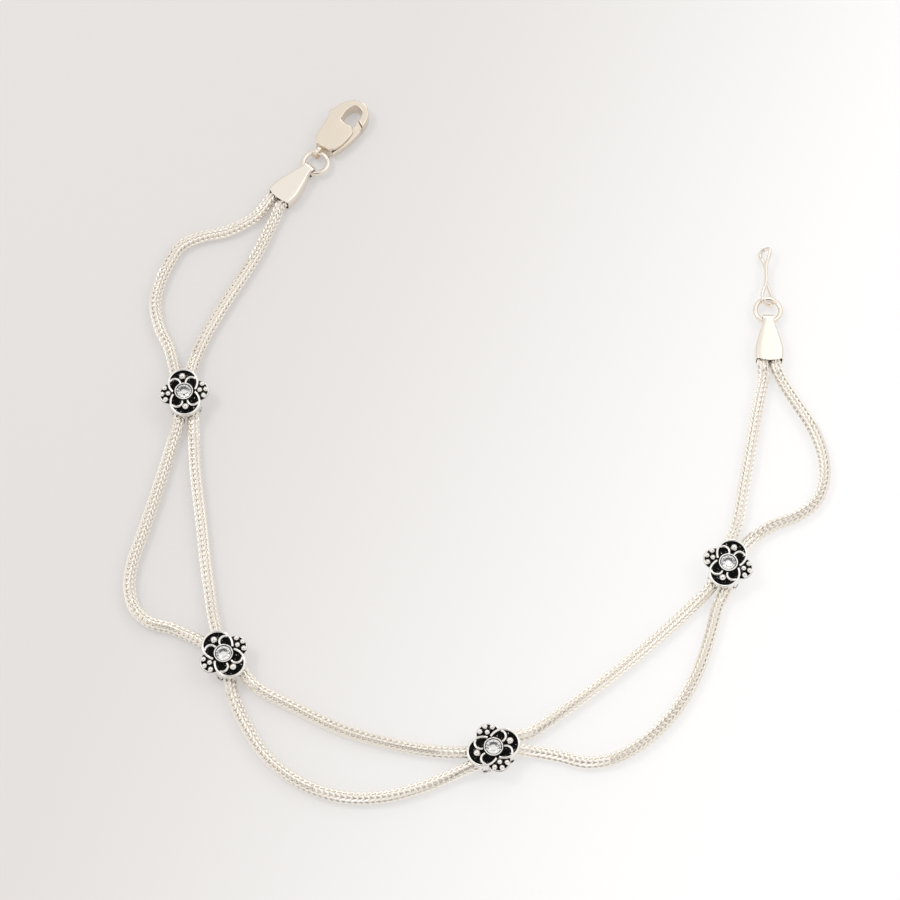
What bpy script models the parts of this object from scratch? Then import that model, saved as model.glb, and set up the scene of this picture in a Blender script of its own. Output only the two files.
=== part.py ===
# Payal anklet, laid open on a table: two foxtail strands run side by side through
# four cast flower sliders, from a cap with a lobster clasp to a cap with a figure-eight link.
# Metres, +Z up. The table top is z = 0.

import math

import bmesh
import bpy
from mathutils import Matrix, Vector
from mathutils.geometry import tessellate_polygon

mm = 0.001

# Strands
strand_width = 1.9 * mm
strand_sides_resolution = 2
strand_points_apart = 2.5  # in strand widths
strand_side_gap = 0.16 * mm  # between the two strands inside a slider or cap
strand_floor_clearance = 0.1 * mm  # to the floor of what they run through
strand_side_clearance = 0.14 * mm  # to its sides
strand_head_clearance = 0.15 * mm  # to its ceiling

# Flower slider
lobe_radius = 2.5 * mm
lobe_offset = 1.75 * mm
side_lobe_radius = 1.75 * mm
side_lobe_offset = 2.3 * mm
side_lobe_thickness = 0.75 * mm
side_wall = 0.45 * mm  # beside the strands, under the side lobes
outline_steps = 48
relief_sides = 5
rim_steps = 16
side_rim_steps = 8
curl_steps = 7
ball_segments = 12
ball_rows = 5
grain_segments = 10
grain_rows = 4
strap_thickness = 0.5 * mm
strap_half_length = 2.6 * mm
plate_thickness = 0.5 * mm
rim_wire = 0.44 * mm
rim_overhang = 0.06 * mm
rim_half_angle = math.radians(130)
side_rim_wire = 0.24 * mm
side_rim_half_angle = math.radians(58)
relief_sink = 0.12 * mm  # how far wires and grains sit in the plate
curl_wire = 0.4 * mm
curl_radius = 0.9 * mm
curl_centre_along = 1.62 * mm
curl_centre_across = 1.33 * mm
curl_start = math.radians(268)
curl_end = math.radians(418)
lobe_ball = 1.0 * mm
lobe_ball_along = 2.75 * mm
grain = 0.78 * mm
inner_grain_across = 2.6 * mm
corner_grain_along = 1.02 * mm
corner_grain_across = 3.08 * mm
outer_grain_across = 3.56 * mm
window_radius = 0.6 * mm
window_along = 2.05 * mm
window_height = 0.95 * mm
window_segments = 12

# Stone and its bezel
stone_width = 2.4 * mm
stone_facets = 16
table_share = 0.56  # of the stone's width
crown_height = 0.36 * mm
girdle_height = 0.08 * mm
pavilion_height = 0.9 * mm
stone_gap = 0.1 * mm
bezel_wall = 0.2 * mm
bezel_lip = 0.1 * mm  # above the girdle
bezel_ledge = 0.2 * mm
bezel_segments = 20
bezel_ledge_height = 0.26 * mm  # above the plate

# Jump rings
ring_width = 5.05 * mm
ring_wire = 0.87 * mm
ring_height = 1.2 * mm
ring_segments = 20
ring_sides = 6

# End caps
cap_wall = 0.22 * mm
cap_edge = 0.28 * mm  # bevel of its long edges
cap_mouth_bow = 0.5 * mm  # how far the mouth's middle stands out before its corners
cap_mouth_to_ring = 9.8 * mm
cap_neck_width = 1.8 * mm
cap_cavity_depth = 4.0 * mm
cap_strand_depth = 1.5 * mm
cap_eye_wall = 0.38 * mm
cap_eye_play = 0.31 * mm  # hole radius less wire radius, for the ring's bend
cap_eye_segments = 14
cap_eye_foot = math.radians(-125)  # where the eye's round end starts, seen from the side
cap_eye_top = math.radians(75)
cap_eye_steps = 8

# Lobster clasp
clasp_reach = 11.9 * mm  # from the tail eye's centre to the hook's outer end
clasp_thickness = 2.4 * mm
clasp_plate = 0.42 * mm
clasp_edge = 0.16 * mm
tail_eye_wall = 0.33 * mm
tail_eye_play = 0.42 * mm
tail_eye_back = 0.12 * mm  # the ring crosses the eye at a slant, so the eye sits this far back
tail_eye_thickness = 0.7 * mm
tail_eye_segments = 20
lever_side_gap = 0.13 * mm
lever_tip_gap = 0.12 * mm
lever_head_inset = 0.3 * mm  # the head is this much thinner than the clasp on each side
pivot_pin = 0.76 * mm
pivot_play = 0.12 * mm
pivot_segments = 12

# Figure-eight link
link_length = 11.2 * mm
link_half_width = 1.25 * mm
link_peak = 0.77  # largest value of the curve that draws a loop's side
link_wire = 0.65 * mm
link_twist_gap = 0.12 * mm  # between the two wires where they cross
link_into_ring = 0.95 * mm  # from the ring's centre to the wire of the loop in it
link_tilt_low = math.radians(53)
link_tilt_high = math.radians(-50)
link_height = 1.25 * mm
link_steps = 44
link_sides = 6

# Places on the table: x, y and the heading in degrees of travel from cap 1 to cap 2
route_unit = 1.0 * mm  # what one unit of the places and routes measures
slider_places = [(-48.1, 6.7, -82.5), (-40.2, -38.9, -55.0), (1.9, -54.3, 21.5), (39.3, -23.5, 68.5)]
ring_places = [(-27.55, 50.95, 49.3), (47.86, 22.7, 88.7)]
clasp_direction_on_ring = math.radians(78)
clasp_heading = math.radians(50.6)
link_heading = math.radians(90)

# The strands' routes between the sliders, one stretch per row, chosen by hand
outer_route = [
    [(-37.5, 40.6), (-42.0, 37.9), (-46.6, 36.7), (-49.9, 34.9), (-51.6, 32.0), (-53.1, 28.0),
     (-53.7, 24.0), (-52.7, 19.4), (-51.0, 15.6)],
    [(-49.7, -0.8), (-51.3, -7.4), (-53.7, -16.4), (-55.4, -22.6), (-55.7, -26.6), (-54.7, -30.3),
     (-52.2, -32.7), (-48.4, -33.8)],
    [(-38.8, -44.8), (-36.6, -49.8), (-32.9, -55.3), (-27.6, -59.4), (-21.6, -61.5), (-15.4, -61.6),
     (-9.4, -60.1), (-4.8, -58.2)],
    [(8.4, -54.3), (11.8, -54.9), (16.6, -56.0), (21.4, -55.0), (26.2, -51.9), (30.6, -47.1),
     (34.0, -41.1), (36.2, -34.9), (37.6, -30.0)],
    [(43.6, -18.3), (46.8, -16.1), (50.9, -14.4), (54.0, -11.9), (55.6, -8.0), (55.6, -3.6),
     (54.2, 1.2), (51.6, 6.1), (49.5, 10.0)],
]
inner_route = [
    [(-34.4, 40.0), (-37.5, 32.6), (-41.7, 24.9), (-45.5, 17.2)],
    [(-46.4, -0.4), (-45.9, -6.5), (-44.6, -16.0), (-43.1, -26.5)],
    [(-35.0, -43.6), (-29.0, -46.9), (-22.0, -50.4), (-15.2, -52.6), (-8.4, -54.0)],
    [(8.4, -50.7), (14.2, -46.6), (20.4, -41.8), (26.8, -36.3), (32.8, -30.7)],
    [(41.2, -15.8), (42.6, -9.2), (44.0, -2.0), (45.4, 5.1), (46.5, 10.2)],
]

# Half widths of the end cap: share of the way from mouth to tip, share of the mouth's half width
cap_half_widths = [
    (0.06, 1.0), (0.27, 1.0), (0.38, 0.92), (0.51, 0.79), (0.64, 0.645), (0.74, 0.5), (0.83, 0.4),
]
cap_mouth_rows = [-0.67, -0.33, 0.0, 0.33, 0.67]  # shares of the mouth's half width, along its bowed edge

# Outline of the clasp's body seen from above: shares of the clasp's reach along and to the left
clasp_outline = [
    (0.071, -0.034), (0.08, -0.059), (0.084, -0.118), (0.109, -0.155), (0.164, -0.185), (0.252, -0.208),
    (0.345, -0.212), (0.429, -0.212), (0.508, -0.2), (0.559, -0.168), (0.59, -0.109), (0.576, -0.02),
    (0.588, 0.069), (0.639, 0.086), (0.731, 0.103), (0.828, 0.087), (0.889, 0.034), (0.891, -0.034),
    (0.855, -0.092), (0.79, -0.119), (0.728, -0.13), (0.681, -0.245), (0.736, -0.24), (0.815, -0.22),
    (0.908, -0.172), (0.966, -0.109), (0.996, -0.017), (0.979, 0.088), (0.941, 0.147), (0.887, 0.193),
    (0.818, 0.229), (0.745, 0.255), (0.672, 0.262), (0.614, 0.304), (0.587, 0.294), (0.534, 0.26),
    (0.46, 0.231), (0.36, 0.218), (0.25, 0.198), (0.16, 0.174), (0.063, 0.1), (0.071, 0.05),
]
# The slot between its plates, the lever and the lever's thick head, in the same shares
slot_outline = [
    (0.66, -0.34), (0.66, 0.07), (0.53, 0.004), (0.403, -0.028), (0.286, -0.024), (0.22, -0.045),
    (0.18, -0.1), (0.14, -0.155), (0.05, -0.165), (0.05, -0.34),
]
lever_outline = [
    (0.655, -0.13), (0.546, -0.139), (0.42, -0.118), (0.345, -0.072), (0.286, -0.054), (0.235, -0.072),
    (0.205, -0.126), (0.2, -0.165), (0.168, -0.19), (0.1, -0.2), (0.084, -0.213), (0.104, -0.229),
    (0.269, -0.242), (0.345, -0.254), (0.502, -0.261), (0.618, -0.252), (0.68, -0.23),
]
lever_head_outline = [(0.728, -0.13), (0.65, -0.134), (0.638, -0.19), (0.628, -0.25), (0.681, -0.245)]
lever_pivot = (0.286, -0.134)
lever_joint_rows = (20, 21)  # the two corners of the hook's tip in clasp_outline, inner and outer

# Silver and stone
smooth_angle = math.radians(40)
silver_colour = (0.86, 0.83, 0.78, 1.0)
stone_colour = (0.95, 0.96, 1.0, 1.0)

# Sizes that follow from the ones above
strand_radius = strand_width / 2
strand_spacing = strand_width + strand_side_gap
channel_height = strand_width + strand_floor_clearance + strand_head_clearance
channel_half_width = strand_spacing / 2 + strand_radius + strand_side_clearance
slider_strand_height = strap_thickness + strand_floor_clearance + strand_radius
plate_top = strap_thickness + channel_height + plate_thickness
slider_length = 2 * (lobe_offset + lobe_radius)
straight_half_length = strap_half_length + strand_radius / 3
ledge_top = plate_top + bezel_ledge_height
girdle_bottom = ledge_top + pavilion_height * (1 - (stone_width / 2 + stone_gap - bezel_ledge)
                                               / (stone_width / 2)) + stone_gap
ring_radius = (ring_width - ring_wire) / 2
cap_height = channel_height + 2 * cap_wall
cap_strand_height = cap_wall + strand_floor_clearance + strand_radius
cap_half_width = channel_half_width + cap_wall
cap_ring_bow = ring_radius - math.sqrt(ring_radius ** 2 - (cap_neck_width / 2) ** 2)
cap_eye_along = cap_mouth_to_ring - ring_radius + cap_ring_bow / 2
cap_eye_hole = ring_wire / 2 + cap_eye_play
cap_eye_radius = cap_eye_hole + cap_eye_wall
cap_length = cap_eye_along + cap_eye_radius
tail_eye_hole = ring_wire / 2 + tail_eye_play
link_half_length = (link_length - link_wire) / 2


def clear_scene():
    for item in list(bpy.data.objects):
        bpy.data.objects.remove(item, do_unlink=True)


def material(name, colour, metallic, roughness, transmission=0.0):
    made = bpy.data.materials.new(name)
    made.use_nodes = True
    shader = made.node_tree.nodes["Principled BSDF"]
    shader.inputs["Base Color"].default_value = colour
    shader.inputs["Metallic"].default_value = metallic
    shader.inputs["Roughness"].default_value = roughness
    shader.inputs["Transmission Weight"].default_value = transmission
    return made


def smooth(mesh):
    mesh.shade_smooth()
    mesh.set_sharp_from_angle(angle=smooth_angle)


def to_object(name, bm):
    bmesh.ops.recalc_face_normals(bm, faces=bm.faces)
    mesh = bpy.data.meshes.new(name)
    bm.to_mesh(mesh)
    bm.free()
    made = bpy.data.objects.new(name, mesh)
    bpy.context.scene.collection.objects.link(made)
    return made


# Solids that the pieces are made of

def drawn_in(outline, inset):
    """The counter-clockwise outline with every side moved inwards by inset."""
    moved = []
    for i, (x, y) in enumerate(outline):
        before = Vector(outline[i - 1])
        after = Vector(outline[(i + 1) % len(outline)])
        here = Vector((x, y))
        arriving = (here - before).normalized()
        leaving = (after - here).normalized()
        inward = Vector((-arriving.y - leaving.y, arriving.x + leaving.x)).normalized()
        reach = inset / max(inward.dot(Vector((-arriving.y, arriving.x))), 0.5)
        moved.append(tuple(here + inward * reach))
    return moved


def prism(name, outline, bottom, top, edge=0.0):
    """An outline in the XY plane raised from bottom to top, its rims bevelled by edge."""
    rows = [(outline, bottom), (outline, top)]
    if edge:
        inner = drawn_in(outline, edge)
        rows = [(inner, bottom), (outline, bottom + edge), (outline, top - edge), (inner, top)]
    bm = bmesh.new()
    layers = [[bm.verts.new((x, y, height)) for x, y in row] for row, height in rows]
    count = len(outline)
    flat = [Vector((x, y, 0)) for x, y in rows[0][0]]
    for a, b, c in tessellate_polygon([flat]):
        bm.faces.new((layers[0][a], layers[0][b], layers[0][c]))
        bm.faces.new((layers[-1][c], layers[-1][b], layers[-1][a]))
    for low, high in zip(layers, layers[1:]):
        for i in range(count):
            j = (i + 1) % count
            bm.faces.new((low[i], low[j], high[j], high[i]))
    return to_object(name, bm)


def turned(name, profile, segments, place=(0, 0, 0)):
    """A closed profile of (radius, height) turned round the Z axis at place."""
    bm = bmesh.new()
    rings = []
    for i in range(segments):
        turn = 2 * math.pi * i / segments
        rings.append([
            bm.verts.new((place[0] + r * math.cos(turn), place[1] + r * math.sin(turn), place[2] + z))
            for r, z in profile
        ])
    for i in range(segments):
        here = rings[i]
        following = rings[(i + 1) % segments]
        for k in range(len(profile)):
            m = (k + 1) % len(profile)
            bm.faces.new((here[k], following[k], following[m], here[m]))
    return to_object(name, bm)


def cylinder(name, radius, depth, segments, place, axis="Z"):
    bm = bmesh.new()
    bmesh.ops.create_cone(bm, cap_ends=True, segments=segments, radius1=radius, radius2=radius, depth=depth)
    if axis == "Y":
        bmesh.ops.rotate(bm, verts=bm.verts, matrix=Matrix.Rotation(math.pi / 2, 3, "X"))
    bmesh.ops.translate(bm, verts=bm.verts, vec=Vector(place))
    return to_object(name, bm)


def ball(name, width, place, around, rows):
    bm = bmesh.new()
    bmesh.ops.create_uvsphere(bm, u_segments=around, v_segments=rows, radius=width / 2)
    bmesh.ops.translate(bm, verts=bm.verts, vec=Vector(place))
    return to_object(name, bm)


def swept(name, path, radii, sides, closed=False):
    """A round wire along a path, with its own radius at each point."""
    bm = bmesh.new()
    count = len(path)
    points = [Vector(p) for p in path]
    rings = []
    lift = None
    for i, point in enumerate(points):
        before = points[i - 1] if i or closed else point
        after = points[(i + 1) % count] if i < count - 1 or closed else point
        along = (after - before).normalized()
        if lift is None:
            lift = Vector((0, 0, 1)) if abs(along.z) < 0.9 else Vector((1, 0, 0))
        lift = (lift - along * lift.dot(along)).normalized()
        side = along.cross(lift)
        rings.append([
            bm.verts.new(point + radii[i] * (math.cos(a) * side + math.sin(a) * lift))
            for a in (math.pi / 2 + 2 * math.pi * k / sides for k in range(sides))
        ])
    spans = count if closed else count - 1
    for i in range(spans):
        here = rings[i]
        following = rings[(i + 1) % count]
        for k in range(sides):
            m = (k + 1) % sides
            bm.faces.new((here[k], here[m], following[m], following[k]))
    if not closed:
        bm.faces.new(list(reversed(rings[0])))
        bm.faces.new(rings[-1])
    return to_object(name, bm)


def arc(centre, radius, start, end, steps, height):
    return [
        (centre[0] + radius * math.cos(start + (end - start) * i / steps),
         centre[1] + radius * math.sin(start + (end - start) * i / steps), height)
        for i in range(steps + 1)
    ]


# Joining and cutting

def combine(base, others, operation):
    """Applies one exact Boolean per helper to base and removes the helpers."""
    for other in others:
        other.hide_render = True
        other.display_type = "WIRE"
        step = base.modifiers.new(other.name, "BOOLEAN")
        step.operation = operation
        step.solver = "EXACT"
        step.object = other
    bpy.context.view_layer.update()
    evaluated = base.evaluated_get(bpy.context.evaluated_depsgraph_get())
    mesh = bpy.data.meshes.new_from_object(evaluated)
    old = base.data
    base.modifiers.clear()
    base.data = mesh
    bpy.data.meshes.remove(old)
    for other in others:
        bpy.data.objects.remove(other, do_unlink=True)
    return base


def finished(piece, name, finish, parent):
    piece.name = name
    piece.data.name = name
    piece.data.materials.clear()
    piece.data.materials.append(finish)
    smooth(piece.data)
    piece.parent = parent
    return piece


def empty(name, place, heading, parent):
    made = bpy.data.objects.new(name, None)
    bpy.context.scene.collection.objects.link(made)
    made.location = place
    made.rotation_euler = (0, 0, heading)
    made.parent = parent
    return made


# Flower slider, its length along X

def slider_outline():
    """Two lobes along X and two smaller ones along Y, as one outline seen from above."""
    circles = [
        (lobe_offset, 0.0, lobe_radius), (-lobe_offset, 0.0, lobe_radius),
        (0.0, side_lobe_offset, side_lobe_radius), (0.0, -side_lobe_offset, side_lobe_radius),
    ]
    outline = []
    for i in range(outline_steps):
        turn = 2 * math.pi * (i + 0.5) / outline_steps
        ray = (math.cos(turn), math.sin(turn))
        reach = 0.0
        for x, y, radius in circles:
            toward = x * ray[0] + y * ray[1]
            inside = radius ** 2 - (x ** 2 + y ** 2 - toward ** 2)
            if inside > 0:
                reach = max(reach, toward + math.sqrt(inside))
        outline.append((reach * ray[0], reach * ray[1]))
    return outline


def slider_channel():
    """The space of the two strands: a tunnel over the strap, open below beyond its ends."""
    far = slider_length
    profile = [
        (-far, -far), (-strap_half_length, -far), (-strap_half_length, strap_thickness),
        (strap_half_length, strap_thickness), (strap_half_length, -far), (far, -far),
        (far, strap_thickness + channel_height), (-far, strap_thickness + channel_height),
    ]
    channel = prism("channel", profile, -channel_half_width, channel_half_width)
    channel.data.transform(Matrix.Rotation(math.pi / 2, 4, "X"))
    return channel


def slider_ends():
    """The open space under the two large lobes, where the strands spread apart."""
    ends = []
    for side in (1, -1):
        corners = [(strap_half_length, -slider_length), (slider_length, -slider_length),
                   (slider_length, slider_length), (strap_half_length, slider_length)]
        outline = [(side * x, side * y) for x, y in corners]
        ends.append(prism("end", outline, -slider_length, strap_thickness + channel_height))
    return ends


def lobe_wires(side):
    """Rim, two curls and a ball on the lobe at +X or -X."""
    rim_radius = lobe_radius + rim_overhang - rim_wire / 2
    wire_height = plate_top + rim_wire / 2 - relief_sink
    centre = (side * lobe_offset, 0.0)
    facing = 0.0 if side > 0 else math.pi
    rim = arc(centre, rim_radius, facing - rim_half_angle, facing + rim_half_angle, rim_steps, wire_height)
    pieces = [swept("rim", rim, [rim_wire / 2] * len(rim), relief_sides)]
    for across in (1, -1):
        curl_height = plate_top + curl_wire / 2 - relief_sink
        curl = [
            (side * x, across * y, z)
            for x, y, z in arc((curl_centre_along, curl_centre_across), curl_radius,
                               curl_start, curl_end, curl_steps, curl_height)
        ]
        pieces.append(swept("curl", curl, [curl_wire / 2] * len(curl), relief_sides))
    ball_height = plate_top + lobe_ball / 2 - 2 * relief_sink
    ball_place = (side * lobe_ball_along, 0, ball_height)
    pieces.append(ball("lobe_ball", lobe_ball, ball_place, ball_segments, ball_rows))
    return pieces


def side_lobe_grains(side):
    """Four granules and a low border on the small lobe at +Y or -Y."""
    height = plate_top + grain / 2 - 2 * relief_sink
    places = [
        (0.0, inner_grain_across), (0.0, outer_grain_across),
        (corner_grain_along, corner_grain_across), (-corner_grain_along, corner_grain_across),
    ]
    pieces = [ball("grain", grain, (x, side * y, height), grain_segments, grain_rows) for x, y in places]
    facing = math.pi / 2 * side
    border = arc((0.0, side * side_lobe_offset), side_lobe_radius - side_rim_wire / 3,
                 facing - side_rim_half_angle, facing + side_rim_half_angle, side_rim_steps,
                 plate_top + side_rim_wire / 2 - relief_sink)
    pieces.append(swept("border", border, [side_rim_wire / 2] * len(border), relief_sides))
    return pieces


def bezel():
    outer = stone_width / 2 + stone_gap + bezel_wall
    seat = stone_width / 2 + stone_gap
    inner = seat - bezel_ledge
    lip = girdle_bottom + girdle_height + bezel_lip
    foot = plate_top - plate_thickness / 2
    wall = [(inner, foot), (outer, foot), (outer, lip), (seat, lip)]
    ledge = [(seat, ledge_top), (inner, ledge_top)]
    return turned("bezel", wall + ledge, bezel_segments)


def slider_windows():
    """One opening low in the wall beside each large lobe, on both sides."""
    depth = side_lobe_offset + side_lobe_radius
    windows = []
    for x in (window_along, -window_along):
        for side in (1, -1):
            y = side * (channel_half_width - strand_side_clearance + depth / 2)
            place = (x, y, window_height)
            windows.append(cylinder("window", window_radius, depth, window_segments, place, "Y"))
    return windows


def side_undercuts():
    """Cutters that leave the side lobes as thin plates beside the channel's walls."""
    inner = channel_half_width + side_wall
    outer = side_lobe_offset + 2 * side_lobe_radius
    cutters = []
    for side in (1, -1):
        corners = [(-slider_length, side * inner), (slider_length, side * inner),
                   (slider_length, side * outer), (-slider_length, side * outer)]
        if side < 0:
            corners.reverse()
        cutters.append(prism("undercut", corners, -plate_top, plate_top - side_lobe_thickness))
    return cutters


def slider_body():
    body = prism("slider", slider_outline(), 0.0, plate_top)
    stone_hole = stone_width / 2 - bezel_ledge - stone_gap
    cuts = [
        slider_channel(),
        cylinder("stone_hole", stone_hole, slider_length, bezel_segments, (0, 0, plate_top)),
    ] + slider_ends() + side_undercuts() + slider_windows()
    combine(body, cuts, "DIFFERENCE")
    relief = [bezel()]
    for side in (1, -1):
        relief += lobe_wires(side) + side_lobe_grains(side)
    return combine(body, relief, "UNION")


def stone():
    """A round cut stone: table, kite and star facets, girdle, and a pavilion to a point."""
    bm = bmesh.new()
    half = stone_facets // 2
    top = girdle_bottom + girdle_height
    table_radius = table_share * stone_width / 2
    table = [
        bm.verts.new((table_radius * math.cos(a), table_radius * math.sin(a), top + crown_height))
        for a in (2 * math.pi * i / half for i in range(half))
    ]
    rims = []
    for height in (top, girdle_bottom):
        rims.append([
            bm.verts.new((stone_width / 2 * math.cos(a), stone_width / 2 * math.sin(a), height))
            for a in (2 * math.pi * i / stone_facets for i in range(stone_facets))
        ])
    culet = bm.verts.new((0, 0, girdle_bottom - pavilion_height))
    bm.faces.new(table)
    for i in range(half):
        j = (i + 1) % half
        main = rims[0][2 * i]
        between = rims[0][2 * i + 1]
        after = rims[0][(2 * i + 2) % stone_facets]
        bm.faces.new((table[i], main, between))
        bm.faces.new((table[i], between, table[j]))
        bm.faces.new((table[j], between, after))
    for i in range(stone_facets):
        j = (i + 1) % stone_facets
        bm.faces.new((rims[0][i], rims[1][i], rims[1][j], rims[0][j]))
        bm.faces.new((rims[1][i], culet, rims[1][j]))
    return to_object("stone", bm)


# Jump rings, end caps

def jump_ring():
    circle = [
        (ring_radius * math.cos(a), ring_radius * math.sin(a), ring_height)
        for a in (2 * math.pi * i / ring_segments for i in range(ring_segments))
    ]
    return swept("jump_ring", circle, [ring_wire / 2] * ring_segments, ring_sides, closed=True)


def cap_outline(inset, reach):
    """The cap's sides from above, from its mouth to reach, drawn in by inset."""
    rows = [(share * cap_length, width * cap_half_width) for share, width in cap_half_widths]
    neck = cap_neck_width / 2
    rows = [(x, max(y, neck)) for x, y in rows]
    rows.append((cap_length + cap_wall, neck))
    upper = []
    for i in range(len(rows)):
        x, y = rows[i]
        if x < reach:
            upper.append((x, y - inset))
    last = min(row for row in rows if row[0] >= reach)
    before = max(row for row in rows if row[0] < reach)
    share = (reach - before[0]) / (last[0] - before[0])
    upper.append((reach, before[1] + share * (last[1] - before[1]) - inset))
    return upper + [(x, -y) for x, y in reversed(upper)]


def end_cap():
    """A hollow teardrop cap, open at its mouth, with a rolled eye at its tip."""
    mouth_edge = [(cap_mouth_bow * y * y, y * cap_half_width) for y in cap_mouth_rows]
    outline = cap_outline(0.0, cap_length + cap_wall / 2) + mouth_edge
    outline.reverse()
    body = prism("end_cap", outline, 0.0, cap_height, cap_edge)
    eye_height = ring_height
    shoulder = cap_eye_along - cap_eye_radius
    side_view = [(-cap_wall, -cap_wall), (shoulder - cap_wall, -cap_wall)]
    eye_centre = (cap_eye_along, eye_height)
    round_end = arc(eye_centre, cap_eye_radius, cap_eye_foot, cap_eye_top, cap_eye_steps, 0.0)
    side_view += [(x, z) for x, z, _ in round_end]
    side_view += [(cap_eye_along, cap_height + cap_wall), (-cap_wall, cap_height + cap_wall)]
    side = prism("side_view", side_view, -2 * cap_half_width, 2 * cap_half_width)
    side.data.transform(Matrix.Rotation(math.pi / 2, 4, "X"))
    combine(body, [side], "INTERSECT")
    inside = cap_outline(cap_wall, cap_cavity_depth)[1:-1]
    half_mouth = inside[0][1]
    inside += [(-cap_wall, -half_mouth), (-cap_wall, half_mouth)]
    cavity = prism("cavity", inside, cap_wall, cap_height - cap_wall)
    hole = cylinder("hole", cap_eye_hole, 4 * cap_half_width, cap_eye_segments,
                    (cap_eye_along, 0, eye_height), "Y")
    return combine(body, [cavity, hole], "DIFFERENCE")


# Lobster clasp, lying flat, its tail eye at the origin and its length along X

def at_clasp_size(rows):
    return [(x * clasp_reach, y * clasp_reach) for x, y in rows]


def clasp_body():
    body = prism("clasp", at_clasp_size(clasp_outline), 0.0, clasp_thickness, clasp_edge)
    slot = prism("slot", at_clasp_size(slot_outline), clasp_plate, clasp_thickness - clasp_plate)
    combine(body, [slot], "DIFFERENCE")
    pivot = at_clasp_size([lever_pivot])[0]
    pin_length = clasp_thickness - clasp_plate
    pin_place = (pivot[0], pivot[1], clasp_thickness / 2)
    pin = cylinder("pin", pivot_pin / 2, pin_length, pivot_segments, pin_place)
    outer = tail_eye_hole + tail_eye_wall
    eye = turned("eye", [(tail_eye_hole, -tail_eye_thickness / 2), (outer, -tail_eye_thickness / 2),
                         (outer, tail_eye_thickness / 2), (tail_eye_hole, tail_eye_thickness / 2)],
                 tail_eye_segments)
    eye.data.transform(Matrix.Rotation(math.pi / 2, 4, "X"))
    eye.data.transform(Matrix.Translation((-tail_eye_back, 0, ring_height)))
    return combine(body, [pin, eye], "UNION")


def drawn_back(outline, corners, gap):
    """The outline with its corners on the hook's joint line moved off that line by gap."""
    inner, outer = (Vector(clasp_outline[row]) * clasp_reach for row in corners)
    line = (outer - inner).normalized()
    away = Vector((line.y, -line.x))
    if away.x > 0:
        away = -away
    moved = []
    for point in outline:
        distance = (Vector(point) - inner).dot(away)
        short = gap - distance
        step = away * short if short > 0 else Vector((0, 0))
        moved.append((point[0] + step.x, point[1] + step.y))
    return moved


def clasp_lever():
    """The sprung gate with its thumb tab, its origin on the pivot."""
    low = clasp_plate + lever_side_gap
    arm = prism("lever", drawn_back(at_clasp_size(lever_outline), lever_joint_rows, lever_tip_gap),
                low, clasp_thickness - low)
    head_outline = drawn_back(at_clasp_size(lever_head_outline), lever_joint_rows, lever_tip_gap)
    head = prism("head", head_outline, lever_head_inset, clasp_thickness - lever_head_inset)
    combine(arm, [head], "UNION")
    pivot = at_clasp_size([lever_pivot])[0]
    hole = cylinder("pivot_hole", pivot_pin / 2 + pivot_play, 2 * clasp_thickness, pivot_segments,
                    (pivot[0], pivot[1], clasp_thickness / 2))
    combine(arm, [hole], "DIFFERENCE")
    arm.data.transform(Matrix.Translation((-pivot[0], -pivot[1], 0)))
    return arm


# Figure-eight link, its length along X, the loop in the ring first

def figure_eight():
    """One closed wire that crosses itself at the waist, its two loops turned apart."""
    path = []
    for i in range(link_steps):
        turn = 2 * math.pi * i / link_steps
        along = link_half_length * math.cos(turn)
        across = link_half_width * math.sin(2 * turn) * abs(math.cos(turn)) / link_peak
        apart = (link_wire + link_twist_gap) / 2 * math.sin(turn) ** 3
        share = 0.5 + 0.5 * along / link_half_length
        tilt = link_tilt_low + (link_tilt_high - link_tilt_low) * share
        path.append((
            link_half_length + along,
            -across * math.cos(tilt) - apart * math.sin(tilt),
            link_height - across * math.sin(tilt) + apart * math.cos(tilt),
        ))
    return swept("figure_eight", path, [link_wire / 2] * link_steps, link_sides, closed=True)


# Strands

def from_frame(place, heading, x, y):
    return (place[0] + x * math.cos(heading) - y * math.sin(heading),
            place[1] + x * math.sin(heading) + y * math.cos(heading))


def cap_pose(number):
    x, y, degrees = ring_places[number]
    heading = math.radians(degrees)
    place = from_frame((x * route_unit, y * route_unit), heading, -cap_mouth_to_ring, 0)
    return place, heading


def strand_knots(route, side):
    """Points of the route in order: side is 1 for the outer strand, on the right of the travel."""
    across = -side * strand_spacing / 2
    first_place, first_heading = cap_pose(0)
    last_place, last_heading = cap_pose(1)
    knots = []
    for x in (cap_strand_depth, -strand_radius / 2):
        knots.append(from_frame(first_place, first_heading, x, -across) + (cap_strand_height,))
    for number, stretch in enumerate(route):
        knots += [(x * route_unit, y * route_unit, strand_radius) for x, y in stretch]
        if number < len(slider_places):
            x, y, degrees = slider_places[number]
            for along in (-straight_half_length, straight_half_length):
                point = from_frame((x * route_unit, y * route_unit), math.radians(degrees), along, across)
                knots.append(point + (slider_strand_height,))
    for x in (-strand_radius / 2, cap_strand_depth):
        knots.append(from_frame(last_place, last_heading, x, across) + (cap_strand_height,))
    return [Vector(knot) for knot in knots]


def smooth_point(knots, i, share):
    """A point of the smooth curve between knot i and the next one."""
    here = knots[i]
    following = knots[i + 1]
    before = knots[max(i - 1, 0)]
    after = knots[min(i + 2, len(knots) - 1)]
    span = (following - here).length
    start = (following - before) / max((following - here).length + (here - before).length, mm / 10)
    end = (after - here) / max((after - following).length + span, mm / 10)
    s = share
    point = (2 * s ** 3 - 3 * s ** 2 + 1) * here + (s ** 3 - 2 * s ** 2 + s) * span * start
    point = point + (3 * s ** 2 - 2 * s ** 3) * following + (s ** 3 - s ** 2) * span * end
    point.z = here.z + (following.z - here.z) * s * s * (3 - 2 * s)
    return point


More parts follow.
